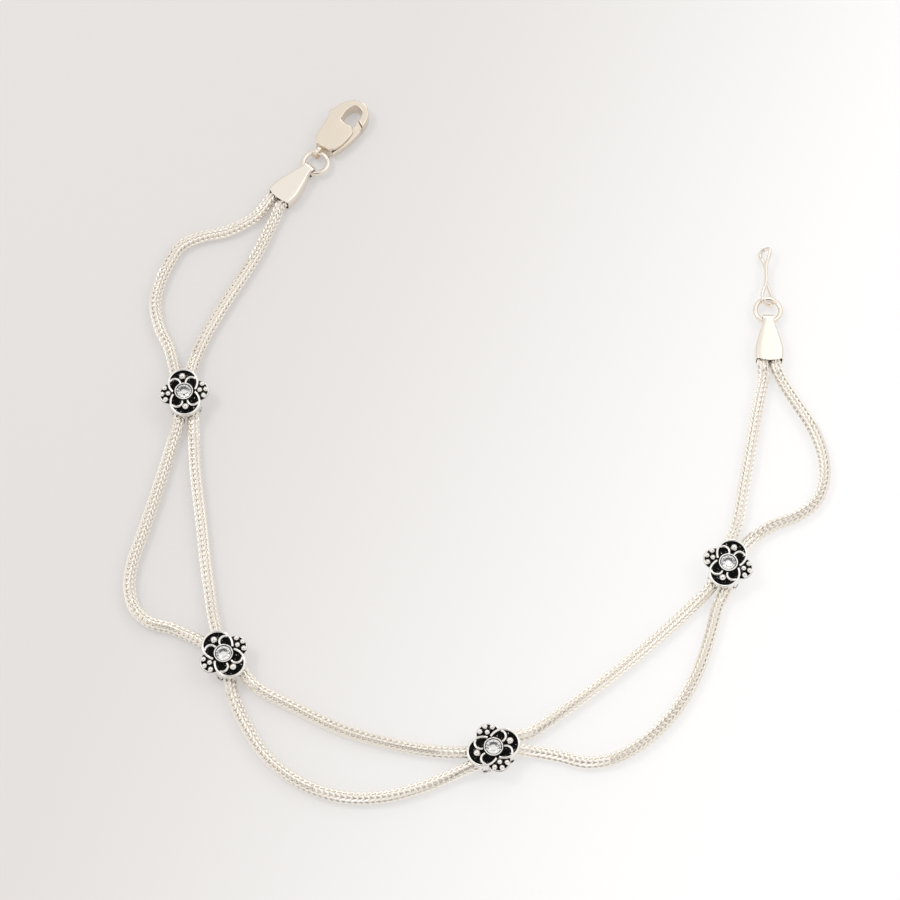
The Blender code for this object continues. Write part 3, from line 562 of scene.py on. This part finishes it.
def buildSlider():
    made = newBuild()
    addPrism(made, sliderOutline(), 0.0, plateTop)
    body = toObject(made, "sliderBody", [sliderSilver])
    far = 8 * mm
    half = slider["strapHalf"]
    roof = slider["strap"] + channelHeight
    profile = [(-far, -far), (-half, -far), (-half, slider["strap"]), (half, slider["strap"]), (half, -far),
               (far, -far), (far, roof), (-far, roof)]
    channel = simplePrism("channel", profile, -channelHalf, channelHalf)
    channel.data.transform(Matrix.Rotation(math.pi / 2, 4, "X"))
    holeRadius = gem["width"] / 2 - gem["ledge"] - gem["gap"]
    holeDepth = 2 * mm  # enough for the plate, not for the strap below
    cutters = [channel, simpleCylinder("stoneHole", holeRadius, holeDepth, 32, (0, 0, plateTop))]
    for side in (1, -1):
        corners = [(half, -far), (far, -far), (far, far), (half, far)]
        cutters.append(simplePrism("end", [(side * x, side * y) for x, y in corners], -far, roof))
        beside = channelHalf + slider["sideWall"]
        corners = [(-far, beside), (far, beside), (far, far), (-far, far)]
        cutters.append(simplePrism("undercut", [(side * x, side * y) for x, y in corners], -far,
                                   plateTop - slider["sideThickness"]))
    depth = slider["sideOffset"] + slider["sideRadius"]
    for x in (slider["windowAlong"], -slider["windowAlong"]):
        for side in (1, -1):
            y = side * (channelHalf - strand["sidePlay"] + depth / 2)
            cutters.append(simpleCylinder("window", slider["windowRadius"], depth, 24,
                                          (x, y, slider["windowHeight"]), "Y"))
    cut(body, cutters)
    relief = newBuild()
    for side in (1, -1):
        facing = 0.0 if side > 0 else math.pi
        rimRadius = slider["lobeRadius"] + slider["rimOver"] - slider["rimWire"] / 2
        half = math.radians(slider["rimHalfAngle"])
        rim = arcPath((side * slider["lobeOffset"], 0), rimRadius, facing - half, facing + half, 56,
                      plateTop + slider["rimWire"] / 2 - slider["sink"])
        addWire(relief, rim, [slider["rimWire"] / 2] * len(rim), 12)
        for across in (1, -1):
            path = arcPath((slider["curlAlong"], slider["curlAcross"]), slider["curlRadius"],
                           math.radians(slider["curlStart"]), math.radians(slider["curlEnd"]), 20,
                           plateTop + slider["curlWire"] / 2 - slider["sink"])
            path = [Vector((side * p.x, across * p.y, p.z)) for p in path]
            # a little thinner at its ends
            radii = [slider["curlWire"] / 2 * (0.8 + 0.2 * math.sin(math.pi * i / 20)) for i in range(21)]
            addWire(relief, path, radii, 12)
        ballHeight = plateTop + slider["ball"] / 2 - 2 * slider["sink"]
        addBall(relief, Vector((side * slider["ballAlong"], 0, ballHeight)), slider["ball"] / 2, 24, 14)
        grainHeight = plateTop + slider["grain"] / 2 - 2 * slider["sink"]
        for x, y in slider["grains"]:
            addBall(relief, Vector((x * mm, side * y * mm, grainHeight)), slider["grain"] / 2)
        facing = side * math.pi / 2
        half = math.radians(slider["borderHalfAngle"])
        wire = slider["borderWire"]
        border = arcPath((0, side * slider["sideOffset"]), slider["sideRadius"] - wire / 3,
                         facing - half, facing + half, 24, plateTop + wire / 2 - slider["sink"])
        addWire(relief, border, [wire / 2] * len(border), 10)
    outer = gem["width"] / 2 + gem["gap"] + gem["wall"]
    seat = gem["width"] / 2 + gem["gap"]
    inner = seat - gem["ledge"]
    foot = plateTop - slider["plate"] / 2
    lip = girdleBottom + gem["girdle"] + gem["lip"]
    soft = 0.05 * mm
    profile = [(inner, foot), (outer, foot), (outer, lip - soft), (outer - soft, lip), (seat + soft, lip),
               (seat, lip - soft), (seat, ledgeTop), (inner, ledgeTop)]
    addTurned(relief, profile, 48)
    skin = 0.02 * mm
    lining = [(inner, ledgeTop), (seat - skin, ledgeTop), (seat - skin, lip - soft - skin),
              (seat, lip - soft), (seat, ledgeTop - skin), (inner, ledgeTop - skin)]
    addTurned(relief, lining, 48, slot=1)  # blackened, on the seat around the stone
    foil = [(0.0, foot), (inner + soft, foot), (inner + soft, foot + soft), (0.0, foot + soft)]
    addTurned(relief, foil, 24)
    detail = toObject(relief, "sliderRelief", [sliderSilver, seatSilver])
    worked = bmesh.new()
    worked.from_mesh(body.data)
    worked.from_mesh(detail.data)
    mesh = bpy.data.meshes.new("sliderMesh")
    worked.to_mesh(mesh)
    worked.free()
    mesh.materials.append(sliderSilver)
    mesh.materials.append(seatSilver)
    mesh.shade_smooth()
    mesh.set_sharp_from_angle(angle=math.radians(sharpAngle))
    bpy.data.objects.remove(detail, do_unlink=True)
    bpy.data.objects.remove(body, do_unlink=True)
    return mesh


# Round brilliant: table, stars, kites and girdle facets above, mains and halves below
def buildStone():
    radius = gem["width"] / 2
    top = girdleBottom + gem["girdle"]
    tableRadius = gem["table"] * radius
    starRadius = tableRadius + gem["starReach"] * (radius - tableRadius)
    starHeight = top + gem["starHeight"] * gem["crown"]
    waistHeight = girdleBottom - gem["waistDepth"] * gem["pavilion"]
    made = newBuild()
    table = [addVert(made, point) for point in circlePoints(tableRadius, 8, top + gem["crown"])]
    stars = [addVert(made, point) for point in circlePoints(starRadius, 8, starHeight, 0.5)]
    upper = [addVert(made, point) for point in circlePoints(radius, 16, top)]
    lower = [addVert(made, point) for point in circlePoints(radius, 16, girdleBottom)]
    waist = [addVert(made, point) for point in circlePoints(gem["waist"] * radius, 8, waistHeight)]
    culet = addVert(made, (0, 0, girdleBottom - gem["pavilion"]))
    addFace(made, table)
    for i in range(8):
        j = (i + 1) % 8
        addFace(made, (table[i], stars[i], table[j]))
        addFace(made, (table[i], stars[i - 1], upper[2 * i]))
        addFace(made, (table[i], upper[2 * i], stars[i]))
        addFace(made, (stars[i], upper[2 * i], upper[2 * i + 1]))
        addFace(made, (stars[i], upper[2 * i + 1], upper[(2 * i + 2) % 16]))
        addFace(made, (waist[i], culet, waist[j]))
        addFace(made, (lower[2 * i], waist[i], lower[2 * i + 1]))
        addFace(made, (lower[2 * i + 1], waist[i], waist[j]))
        addFace(made, (lower[2 * i + 1], waist[j], lower[(2 * i + 2) % 16]))
    for i in range(16):
        j = (i + 1) % 16
        addFace(made, (upper[i], lower[i], lower[j], upper[j]))
    mesh = toObject(made, "stoneShape", [stoneFinish])
    mesh.data.shade_flat()
    return mesh


sliderMesh = buildSlider()
stoneShape = buildStone()
for number, (x, y, degrees) in enumerate(sliderPlaces, start=1):
    place = Vector((x * mm, y * mm, 0)) + shift
    slid = placed(newObject(f"flowerSlider{number}", sliderMesh), place, math.radians(degrees))
    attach(slid, "anklet")
    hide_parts(f"slider_{number}")
    cutStone = placed(newObject(f"cutStone{number}", stoneShape.data), place, math.radians(degrees))
    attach(cutStone, "anklet")
    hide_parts(f"stone_{number}")
bpy.data.objects.remove(stoneShape, do_unlink=True)
print("sliders and stones made:", len(sliderMesh.polygons), "faces each")


# Foxtail strands

foxtail = {
    "pitch": 0.45 * mm, "wire": 0.4 * mm, "sides": 6, "rise": 0.06 * mm, "routeStep": 0.3 * mm,
    "lastLink": 1.3 * mm,  # the room that the last link needs
    "core": 0.7 * mm, "coreSides": 12, "coreShade": 0.6,
    # where the painted shade on the wire begins and how far it fades, as shares of outside
    "outside": 0.8 * mm, "shadeWithin": 0.5, "fade": 0.4,
    # a quarter of a link, from its fold to its tip: along, outwards and to the side, in millimetres
    "quarter": [(0.0, 0.0, 0.27), (0.05, 0.36, 0.33), (0.24, 0.6, 0.39), (0.6, 0.72, 0.38), (0.96, 0.77, 0.3),
                (1.2, 0.79, 0.17), (1.26, 0.8, 0.0)],
}
cap = {
    "mouthToRing": 9.8 * mm, "wall": 0.22 * mm, "neck": 1.8 * mm, "cavity": 4.0 * mm, "strandDepth": 1.5 * mm,
    "eyeWall": 0.38 * mm, "eyePlay": 0.31 * mm,
    # shares of the length and of the greatest half width
    "halfWidths": [(0.0, 0.96), (0.06, 1.0), (0.27, 1.0), (0.38, 0.92), (0.51, 0.79), (0.64, 0.645),
                   (0.74, 0.5), (0.83, 0.4)],
    "mouthBow": 0.5 * mm, "mouthBowReach": 3.0 * mm, "squareness": 6, "around": 64,
}
capHeight = channelHeight + 2 * cap["wall"]
capStrandHeight = cap["wall"] + strand["floorGap"] + strandRadius
sliderStrandHeight = slider["strap"] + strand["floorGap"] + strandRadius
straightHalf = slider["strapHalf"] + strandRadius / 3


def capPose(number):
    x, y, degrees = ringPlaces[number]
    heading = math.radians(degrees)
    return fromFrame((x * mm, y * mm), heading, -cap["mouthToRing"], 0), heading


def strandKnots(route, side):
    across = -side * strandSpacing / 2
    firstPlace, firstHeading = capPose(0)
    lastPlace, lastHeading = capPose(1)
    knots = [fromFrame(firstPlace, firstHeading, x, -across, capStrandHeight)
             for x in (cap["strandDepth"], -strandRadius / 2)]
    for number, stretch in enumerate(route):
        knots += [Vector((x * mm, y * mm, strandRadius)) for x, y in stretch]
        if number < len(sliderPlaces):
            x, y, degrees = sliderPlaces[number]
            for along in (-straightHalf, straightHalf):
                knots.append(fromFrame((x * mm, y * mm), math.radians(degrees), along, across,
                                       sliderStrandHeight))
    knots += [fromFrame(lastPlace, lastHeading, x, across, capStrandHeight)
              for x in (-strandRadius / 2, cap["strandDepth"])]
    return knots


def smoothPoint(knots, i, s):
    here = knots[i]
    following = knots[i + 1]
    before = knots[max(i - 1, 0)]
    after = knots[min(i + 2, len(knots) - 1)]
    span = (following - here).length
    start = (following - before) / max(span + (here - before).length, mm / 10)
    end = (after - here) / max((after - following).length + span, mm / 10)
    point = cubic(here, following, span * start, span * end, s)
    point.z = here.z + (following.z - here.z) * s * s * (3 - 2 * s)
    return point


# Closely spaced points of the strand's centreline and the distance to each
def finePath(route, side):
    knots = strandKnots(route, side)
    points = [knots[0]]
    for i in range(len(knots) - 1):
        pieces = max(2, round((knots[i + 1] - knots[i]).length / foxtail["routeStep"]))
        points += [smoothPoint(knots, i, k / pieces) for k in range(1, pieces + 1)]
    points = [point + shift + Vector((0, 0, foxtail["rise"])) for point in points]
    lengths = [0.0]
    for a, b in zip(points, points[1:]):
        lengths.append(lengths[-1] + (b - a).length)
    return points, lengths


# The closed path of one folded link: along, outwards, to the side.
# Its two tips lie on opposite sides of the strand
def linkLoop():
    quarter = [Vector(p) * mm for p in foxtail["quarter"]]
    right = quarter + [Vector((p.x, p.y, -p.z)) for p in reversed(quarter[:-1])]
    left = [Vector((p.x, -p.y, p.z)) for p in reversed(right[1:-1])]
    return right + left


def buildStrand(name, node, route, side, rolls):
    points, lengths = finePath(route, side)
    total = lengths[-1]
    frames = []
    for i, point in enumerate(points):
        along = (points[min(i + 1, len(points) - 1)] - points[max(i - 1, 0)]).normalized()
        across = Vector((0, 0, 1)).cross(along).normalized()
        frames.append((point, along, across, along.cross(across)))
    loop = linkLoop()
    made = newBuild()
    room = total - foxtail["lastLink"]
    count = int(room / foxtail["pitch"])
    pitch = room / count
    cursor = 0
    for n in range(count + 1):
        start = n * pitch
        while cursor < len(lengths) - 2 and lengths[cursor + 1] < start - foxtail["pitch"]:
            cursor += 1
        rollShare = start / total * (len(rolls) - 1)
        low = min(int(rollShare), len(rolls) - 2)
        roll = math.radians(rolls[low] + (rolls[low + 1] - rolls[low]) * (rollShare - low))
        if n % 2:
            roll += math.pi / 2  # every other link is turned a quarter round
        path = []
        depths = []
        for p in loop:
            at = min(max(start + p.x, 0.0), total)
            i = cursor
            while i < len(lengths) - 2 and lengths[i + 1] < at:
                i += 1
            share = (at - lengths[i]) / (lengths[i + 1] - lengths[i])
            a, b = frames[i], frames[i + 1]
            centre, across, up = (a[k].lerp(b[k], share) for k in (0, 2, 3))
            y = p.y * math.cos(roll) - p.z * math.sin(roll)
            z = p.y * math.sin(roll) + p.z * math.cos(roll)
            path.append(centre + across * y + up * z)
            # painted shade: the deeper the wire lies in the strand, the darker its colour
            out = math.hypot(p.y, p.z) / foxtail["outside"]
            depths.append(min(max((out - foxtail["shadeWithin"]) / foxtail["fade"], 0.0), 1.0))
        addWire(made, path, [foxtail["wire"] / 2] * len(path), foxtail["sides"], closed=True, depths=depths)
    inside = points[2:-2:3]  # the folded wires fill the middle of the strand
    # the core carries part of the painted shade colour, as shade deep between the links
    addWire(made, inside, [foxtail["core"]] * len(inside), foxtail["coreSides"],
            depths=[foxtail["coreShade"]] * len(inside))
    links = toObject(made, name, [chainShadedSilver], withDepth=True)
    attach(links, "anklet")
    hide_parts(node)
    print(name, "has", count + 1, "links over", round(total / mm, 1), "mm,", len(made["faces"]), "faces")


buildStrand("outerFoxtail", "outer_strand", outerRoute, 1, [35, 25, 15, 20, 35, 25, 15, 30, 45, 30, 20])
buildStrand("innerFoxtail", "inner_strand", innerRoute, -1, [20, 30, 20, 10, 25, 40, 25, 10, 0, 15, 30])


# Jump rings, end caps and the figure-eight link

ring = {"width": 5.05 * mm, "wire": 0.87 * mm, "height": 1.2 * mm}
ringRadius = (ring["width"] - ring["wire"]) / 2


def buildRing(number):
    x, y, degrees = ringPlaces[number]
    made = newBuild()
    path = circlePoints(ringRadius, 64, ring["height"])
    addWire(made, path, [ring["wire"] / 2] * len(path), 16, closed=True)
    turned = toObject(made, f"jumpRing{number + 1}", [plainSilver])
    placed(turned, Vector((x * mm, y * mm, 0)) + shift, math.radians(degrees))
    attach(turned, "anklet")
    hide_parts(f"jump_ring_{number + 1}")


ringBow = ringRadius - math.sqrt(ringRadius ** 2 - (cap["neck"] / 2) ** 2)
eyeAlong = cap["mouthToRing"] - ringRadius + ringBow / 2
eyeHole = ring["wire"] / 2 + cap["eyePlay"]
eyeRadius = eyeHole + cap["eyeWall"]
capLength = eyeAlong + eyeRadius


# Half width of the cap at a distance from its mouth, smooth through the named half widths
def capHalfWidth(x):
    neck = cap["neck"] / 2
    widest = channelHalf + cap["wall"]
    rows = [(share * capLength, max(width * widest, neck)) for share, width in cap["halfWidths"]]
    rows += [(capLength, neck), (capLength + cap["wall"], neck)]
    i = max(k for k in range(len(rows) - 1) if rows[k][0] <= x or k == 0)
    here, following = rows[i], rows[i + 1]
    before, after = rows[max(i - 1, 0)], rows[min(i + 2, len(rows) - 1)]
    span = following[0] - here[0]
    start = (following[1] - before[1]) / (following[0] - before[0]) * span
    end = (after[1] - here[1]) / (after[0] - here[0]) * span
    return cubic(here[1], following[1], start, end, (x - here[0]) / span)


# Rounded square section across the cap, drawn in by inset
def capSection(x, inset, bow):
    halfWidth = capHalfWidth(max(x, 0.0)) - inset
    halfHeight = capHeight / 2 - inset
    section = []
    for k in range(cap["around"]):
        turn = 2 * math.pi * k / cap["around"]
        y, z = (math.copysign(abs(part) ** (2 / cap["squareness"]), part)
                for part in (math.cos(turn), math.sin(turn)))
        behind = bow * y * y * max(0.0, 1 - x / cap["mouthBowReach"])
        section.append(Vector((x + behind, y * halfWidth, capHeight / 2 + z * halfHeight)))
    return section


def buildCap():
    made = newBuild()
    reach = capLength + cap["wall"] / 2
    addLoft(made, [capSection(reach * i / 40, 0.0, cap["mouthBow"]) for i in range(41)])
    body = toObject(made, "capBody", [capSilver])
    shoulder = eyeAlong - eyeRadius
    far = capHeight
    side = [(-far, -far), (shoulder - cap["wall"], -far)]
    side += [(eyeAlong + eyeRadius * math.cos(a), ring["height"] + eyeRadius * math.sin(a))
             for a in (math.radians(-125 + 10 * i) for i in range(22))]
    side += [(eyeAlong, capHeight + far), (-far, capHeight + far)]
    sideView = simplePrism("sideView", side, -far, far)
    sideView.data.transform(Matrix.Rotation(math.pi / 2, 4, "X"))
    cut(body, [sideView], "INTERSECT")
    hollow = newBuild()
    addLoft(hollow, [capSection(cap["cavity"] * (i - 2) / 20, cap["wall"], 0.0) for i in range(23)])
    hole = simpleCylinder("hole", eyeHole, 2 * far, 32, (eyeAlong, 0, ring["height"]), "Y")
    cut(body, [toObject(hollow, "cavity", []), hole])
    tidyNormals(body.data, cutSharpAngle)
    return body


def figureEight():
    link = {
        "length": 11.2 * mm, "wire": 0.65 * mm, "gap": 0.12 * mm, "intoRing": 0.95 * mm, "tiltLow": 53,
        "tiltHigh": -50, "height": 1.25 * mm, "heading": 90, "steps": 128,
        # half width, how much the loop keeps to its end, and the peak that this power gives
        "farLoop": (1.12 * mm, 2.2, 0.632), "ringLoop": (1.32 * mm, 0.8, 0.803),
    }
    half = (link["length"] - link["wire"]) / 2
    path = []
    for i in range(link["steps"]):
        turn = 2 * math.pi * i / link["steps"]
        along = half * math.cos(turn)
        halfWidth, power, peak = link["farLoop"] if along > 0 else link["ringLoop"]
        across = halfWidth * math.sin(2 * turn) * abs(math.cos(turn)) ** power / peak
        apart = (link["wire"] + link["gap"]) / 2 * math.sin(turn) ** 3
        share = 0.5 + 0.5 * along / half
        tilt = math.radians(link["tiltLow"] + (link["tiltHigh"] - link["tiltLow"]) * share)
        path.append(Vector((half + along, -across * math.cos(tilt) - apart * math.sin(tilt),
                            link["height"] - across * math.sin(tilt) + apart * math.cos(tilt))))
    made = newBuild()
    addWire(made, path, [link["wire"] / 2] * len(path), 14, closed=True)
    bent = toObject(made, "figureEightLink", [plainSilver])
    x, y, _ = ringPlaces[1]
    place = fromFrame((x * mm, y * mm), math.radians(link["heading"]), link["intoRing"], 0)
    placed(bent, place + shift, math.radians(link["heading"]))
    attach(bent, "anklet")
    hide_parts("figure_eight")


capShape = buildCap()
for number in range(2):
    buildRing(number)
    place, heading = capPose(number)
    capCopy = placed(newObject(f"endCap{number + 1}", capShape.data), place + shift, heading)
    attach(capCopy, "anklet")
    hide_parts(f"end_cap_{number + 1}")
bpy.data.objects.remove(capShape, do_unlink=True)
figureEight()
print("rings, caps and figure-eight link made")


# Lobster clasp: its tail eye is the origin, its length runs along X

clasp = {
    "reach": 11.9 * mm, "thickness": 2.4 * mm, "plate": 0.42 * mm, "edge": 0.2 * mm, "eyeWall": 0.33 * mm,
    "eyePlay": 0.42 * mm, "eyeBack": 0.12 * mm, "eyeThickness": 0.7 * mm, "sideGap": 0.13 * mm,
    "tipGap": 0.12 * mm, "headInset": 0.3 * mm, "pin": 0.76 * mm, "pinPlay": 0.12 * mm,
    "leverEdge": 0.1 * mm, "headEdge": 0.08 * mm,
    "pivot": (0.286, -0.134), "onRing": 78, "heading": 50.6,
    "outline": [
        (0.071, -0.034), (0.08, -0.059), (0.084, -0.118), (0.109, -0.155), (0.164, -0.185), (0.252, -0.208),
        (0.345, -0.212), (0.429, -0.212), (0.508, -0.2), (0.559, -0.168), (0.59, -0.109), (0.576, -0.02),
        (0.588, 0.069), (0.639, 0.086), (0.731, 0.103), (0.828, 0.087), (0.889, 0.034), (0.891, -0.034),
        (0.855, -0.092), (0.79, -0.119), (0.728, -0.13), (0.681, -0.245), (0.736, -0.24), (0.815, -0.22),
        (0.908, -0.172), (0.966, -0.109), (0.996, -0.017), (0.979, 0.088), (0.941, 0.147), (0.887, 0.193),
        (0.818, 0.229), (0.745, 0.255), (0.672, 0.262), (0.614, 0.304), (0.587, 0.294), (0.534, 0.26),
        (0.46, 0.231), (0.36, 0.218), (0.25, 0.198), (0.16, 0.174), (0.063, 0.1), (0.071, 0.05),
    ],
    "corners": (20, 21),
    "slot": [
        (0.66, -0.34), (0.66, 0.07), (0.53, 0.004), (0.403, -0.028), (0.286, -0.024), (0.22, -0.045),
        (0.18, -0.1), (0.14, -0.155), (0.05, -0.165), (0.05, -0.34),
    ],
    "slotCorners": (0, 1, 7, 8, 9),
    "lever": [
        (0.655, -0.13), (0.546, -0.139), (0.42, -0.118), (0.345, -0.072), (0.286, -0.054), (0.235, -0.072),
        (0.205, -0.126), (0.186, -0.154), (0.152, -0.168), (0.1, -0.172), (0.082, -0.186), (0.1, -0.202),
        (0.168, -0.21), (0.2, -0.228), (0.269, -0.238), (0.345, -0.25), (0.502, -0.26), (0.618, -0.252),
        (0.68, -0.23),
    ],
    "head": [(0.728, -0.13), (0.65, -0.134), (0.638, -0.19), (0.628, -0.25), (0.681, -0.245)],
}


def atClaspSize(rows):
    return [(x * clasp["reach"], y * clasp["reach"]) for x, y in rows]


# Upright cylinder through the lever's pivot
def atPivot(name, radius, depth):
    [(x, y)] = atClaspSize([clasp["pivot"]])
    return simpleCylinder(name, radius, depth, 24, (x, y, clasp["thickness"] / 2))


# Outline kept clear of the hook's end face by the tip gap
def drawnBack(outline):
    inner, outer = (Vector(clasp["outline"][row]) * clasp["reach"] for row in clasp["corners"])
    line = (outer - inner).normalized()
    away = Vector((line.y, -line.x))
    if away.x > 0:
        away = -away
    moved = []
    for point in outline:
        short = clasp["tipGap"] - (Vector(point) - inner).dot(away)
        moved.append(tuple(Vector(point) + (away * short if short > 0 else Vector((0, 0)))))
    return moved


def buildClasp():
    made = newBuild()
    outline = roundedOutline(atClaspSize(clasp["outline"]), clasp["corners"], 4)
    addPrism(made, outline, 0.0, clasp["thickness"], clasp["edge"], 4)
    body = toObject(made, "claspShape", [claspSilver])
    inside = roundedOutline(atClaspSize(clasp["slot"]), clasp["slotCorners"], 3)
    cut(body, [simplePrism("slot", inside, clasp["plate"], clasp["thickness"] - clasp["plate"])])
    pin = atPivot("pin", clasp["pin"] / 2, clasp["thickness"] - clasp["plate"])
    eye = newBuild()
    hole = ring["wire"] / 2 + clasp["eyePlay"]
    outer = hole + clasp["eyeWall"]
    half = clasp["eyeThickness"] / 2
    soft = 0.1 * mm
    profile = [(hole + soft, -half), (outer - soft, -half), (outer, soft - half), (outer, half - soft),
               (outer - soft, half), (hole + soft, half), (hole, half - soft), (hole, soft - half)]
    addTurned(eye, profile, 40)
    loop = toObject(eye, "tailEye", [])
    loop.data.transform(Matrix.Rotation(math.pi / 2, 4, "X"))
    loop.data.transform(Matrix.Translation((-clasp["eyeBack"], 0, ring["height"])))
    cut(body, [pin, loop], "UNION")
    tidyNormals(body.data, cutSharpAngle)
    return body


def buildLever():
    low = clasp["plate"] + clasp["sideGap"]
    made = newBuild()
    arm = roundedOutline(drawnBack(atClaspSize(clasp["lever"])), (0, len(clasp["lever"]) - 1), 4)
    addPrism(made, drawnBack(arm), low, clasp["thickness"] - low, clasp["leverEdge"])
    body = toObject(made, "leverShape", [claspSilver])
    top = newBuild()
    inset = clasp["headInset"]
    addPrism(top, drawnBack(atClaspSize(clasp["head"])), inset, clasp["thickness"] - inset, clasp["headEdge"])
    cut(body, [toObject(top, "leverHead", [])], "UNION")
    cut(body, [atPivot("pivotHole", clasp["pin"] / 2 + clasp["pinPlay"], 2 * clasp["thickness"])])
    tidyNormals(body.data, cutSharpAngle)
    return body


ringX, ringY, _ = ringPlaces[0]
claspPlace = fromFrame((ringX * mm, ringY * mm), math.radians(clasp["onRing"]), ringRadius, 0) + shift
claspHeading = math.radians(clasp["heading"])
claspShape = placed(buildClasp(), claspPlace, claspHeading)
claspShape.name = "lobsterClasp"
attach(claspShape, "anklet")
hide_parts("clasp_body")
leverShape = placed(buildLever(), claspPlace, claspHeading)
leverShape.name = "claspLever"
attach(leverShape, "lever")
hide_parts("clasp_lever")
print("clasp and lever made")


# Table, light and camera

# Pale matt table with painted light: it glows a little, more towards the front right, as over-exposed paper
# does; the glow stands in for light from the right and lifts the shadows
def paleTable():
    made, nodes, links, shader = newMaterial("paleTable")
    shader.inputs["Base Color"].default_value = (0.34, 0.334, 0.33, 1)
    shader.inputs["Roughness"].default_value = 0.8
    shader.inputs["Emission Strength"].default_value = 1.0
    spot = nodes.new("ShaderNodeTexCoord").outputs["Object"]
    toward = addReach(nodes, links, spot, (0.92, -0.4, 0))
    # painted light: the glow grows towards the front right
    share = addRange(nodes, links, toward, -50 * mm, 70 * mm, soft=True)
    paintedGlow = addColourMix(nodes, links, share, (0.4, 0.385, 0.378, 1), (0.65, 0.65, 0.65, 1))
    links.new(paintedGlow, shader.inputs["Emission Color"])
    return made


tableHalf = 1.5
floorMesh = bpy.data.meshes.new("tableTop")
tableCorners = [(tableHalf * x, tableHalf * y, 0) for x, y in ((-1, -1), (1, -1), (1, 1), (-1, 1))]
floorMesh.from_pydata(tableCorners, [], [(0, 1, 2, 3)])
floorMesh.materials.append(paleTable())
floor = newObject("tableTop", floorMesh)
floor.location.z = -0.02 * mm  # just clear of the pieces that lie on it


def softLight(name, place, target, size, watts, colour, shines=True):
    light = bpy.data.lights.new(name, "AREA")
    light.shape = "DISK"
    light.size = size
    light.energy = watts
    light.color = colour
    made = newObject(name, light)
    made.location = place
    made.rotation_euler = (Vector(target) - Vector(place)).to_track_quat("-Z", "Y").to_euler()
    made.visible_camera = False
    made.visible_glossy = shines  # seen in the metal or not


softLight("leftSoftbox", (-0.26, 0.1, 0.42), (-0.05, 0, 0), 0.14, 0.45, (1.0, 0.98, 0.95), shines=False)
softLight("rightSoftbox", (0.3, 0.06, 0.32), (0.05, 0, 0), 0.1, 0.16, (1.0, 0.99, 0.98), shines=False)
softLight("rightPanel", (0.18, 0.15, 0.3), (0.06, 0, 0), 0.26, 0.065, (0.9, 0.96, 1.0))
softLight("backSoftbox", (0.12, 0.5, 0.35), (0, 0, 0), 0.12, 0.15, (1.0, 0.99, 0.98))


# Pale room, darker near the table and towards the camera, with one bright patch overhead
def buildRoom(towardCamera):
    room = bpy.data.worlds.new("paleRoom")
    room.use_nodes = True
    nodes, links = room.node_tree.nodes, room.node_tree.links
    back = nodes["Background"]
    back.inputs["Strength"].default_value = 0.95
    direction = nodes.new("ShaderNodeTexCoord")
    split = nodes.new("ShaderNodeSeparateXYZ")
    links.new(direction.outputs["Generated"], split.inputs[0])
    height = nodes.new("ShaderNodeValToRGB")
    stops = height.color_ramp.elements
    stops[0].color = (0.6, 0.56, 0.5, 1)
    stops[1].color = (1.0, 0.99, 0.975, 1)
    for position, colour in ((0.2, (0.78, 0.75, 0.7, 1)), (0.45, (0.93, 0.915, 0.89, 1)),
                             (0.7, (0.98, 0.97, 0.955, 1))):
        stops.new(position).color = colour
    links.new(split.outputs["Z"], height.inputs["Fac"])
    tint = height.outputs["Color"]
    patches = [  # direction, half angles of the patch's middle and of its soft edge, and its tint
        (towardCamera, 11, 25, (0.12, 0.12, 0.13, 1)),
        (Vector((-0.5, 0.2, 0.84)).normalized(), 6, 10, (3.0, 3.0, 3.0, 1)),
    ]
    for middle, core, edge, colour in patches:
        facing = addReach(nodes, links, direction.outputs["Generated"], middle)
        low, high = (math.cos(math.radians(angle)) for angle in (edge, core))
        share = addRange(nodes, links, facing, low, high, soft=True)
        tint = addColourMix(nodes, links, share, tint, colour, "MULTIPLY")
    links.new(tint, back.inputs["Color"])
    return room


lens = bpy.data.cameras.new("camera")
lens.lens = 120
lens.sensor_width = 36
lens.clip_start = 10 * mm
aim = Vector((-4.8 * mm, -2.2 * mm, 0)) + shift
raised = math.radians(65)
distance = 487.5 * mm
towardCamera = Vector((0, -math.cos(raised), math.sin(raised)))
camera = newObject("camera", lens)
camera.location = aim + distance * towardCamera
camera.rotation_euler = (math.pi / 2 - raised, 0, 0)
bpy.context.scene.world = buildRoom(towardCamera)
bpy.context.scene.camera = camera
bpy.context.scene.view_settings.view_transform = "Standard"
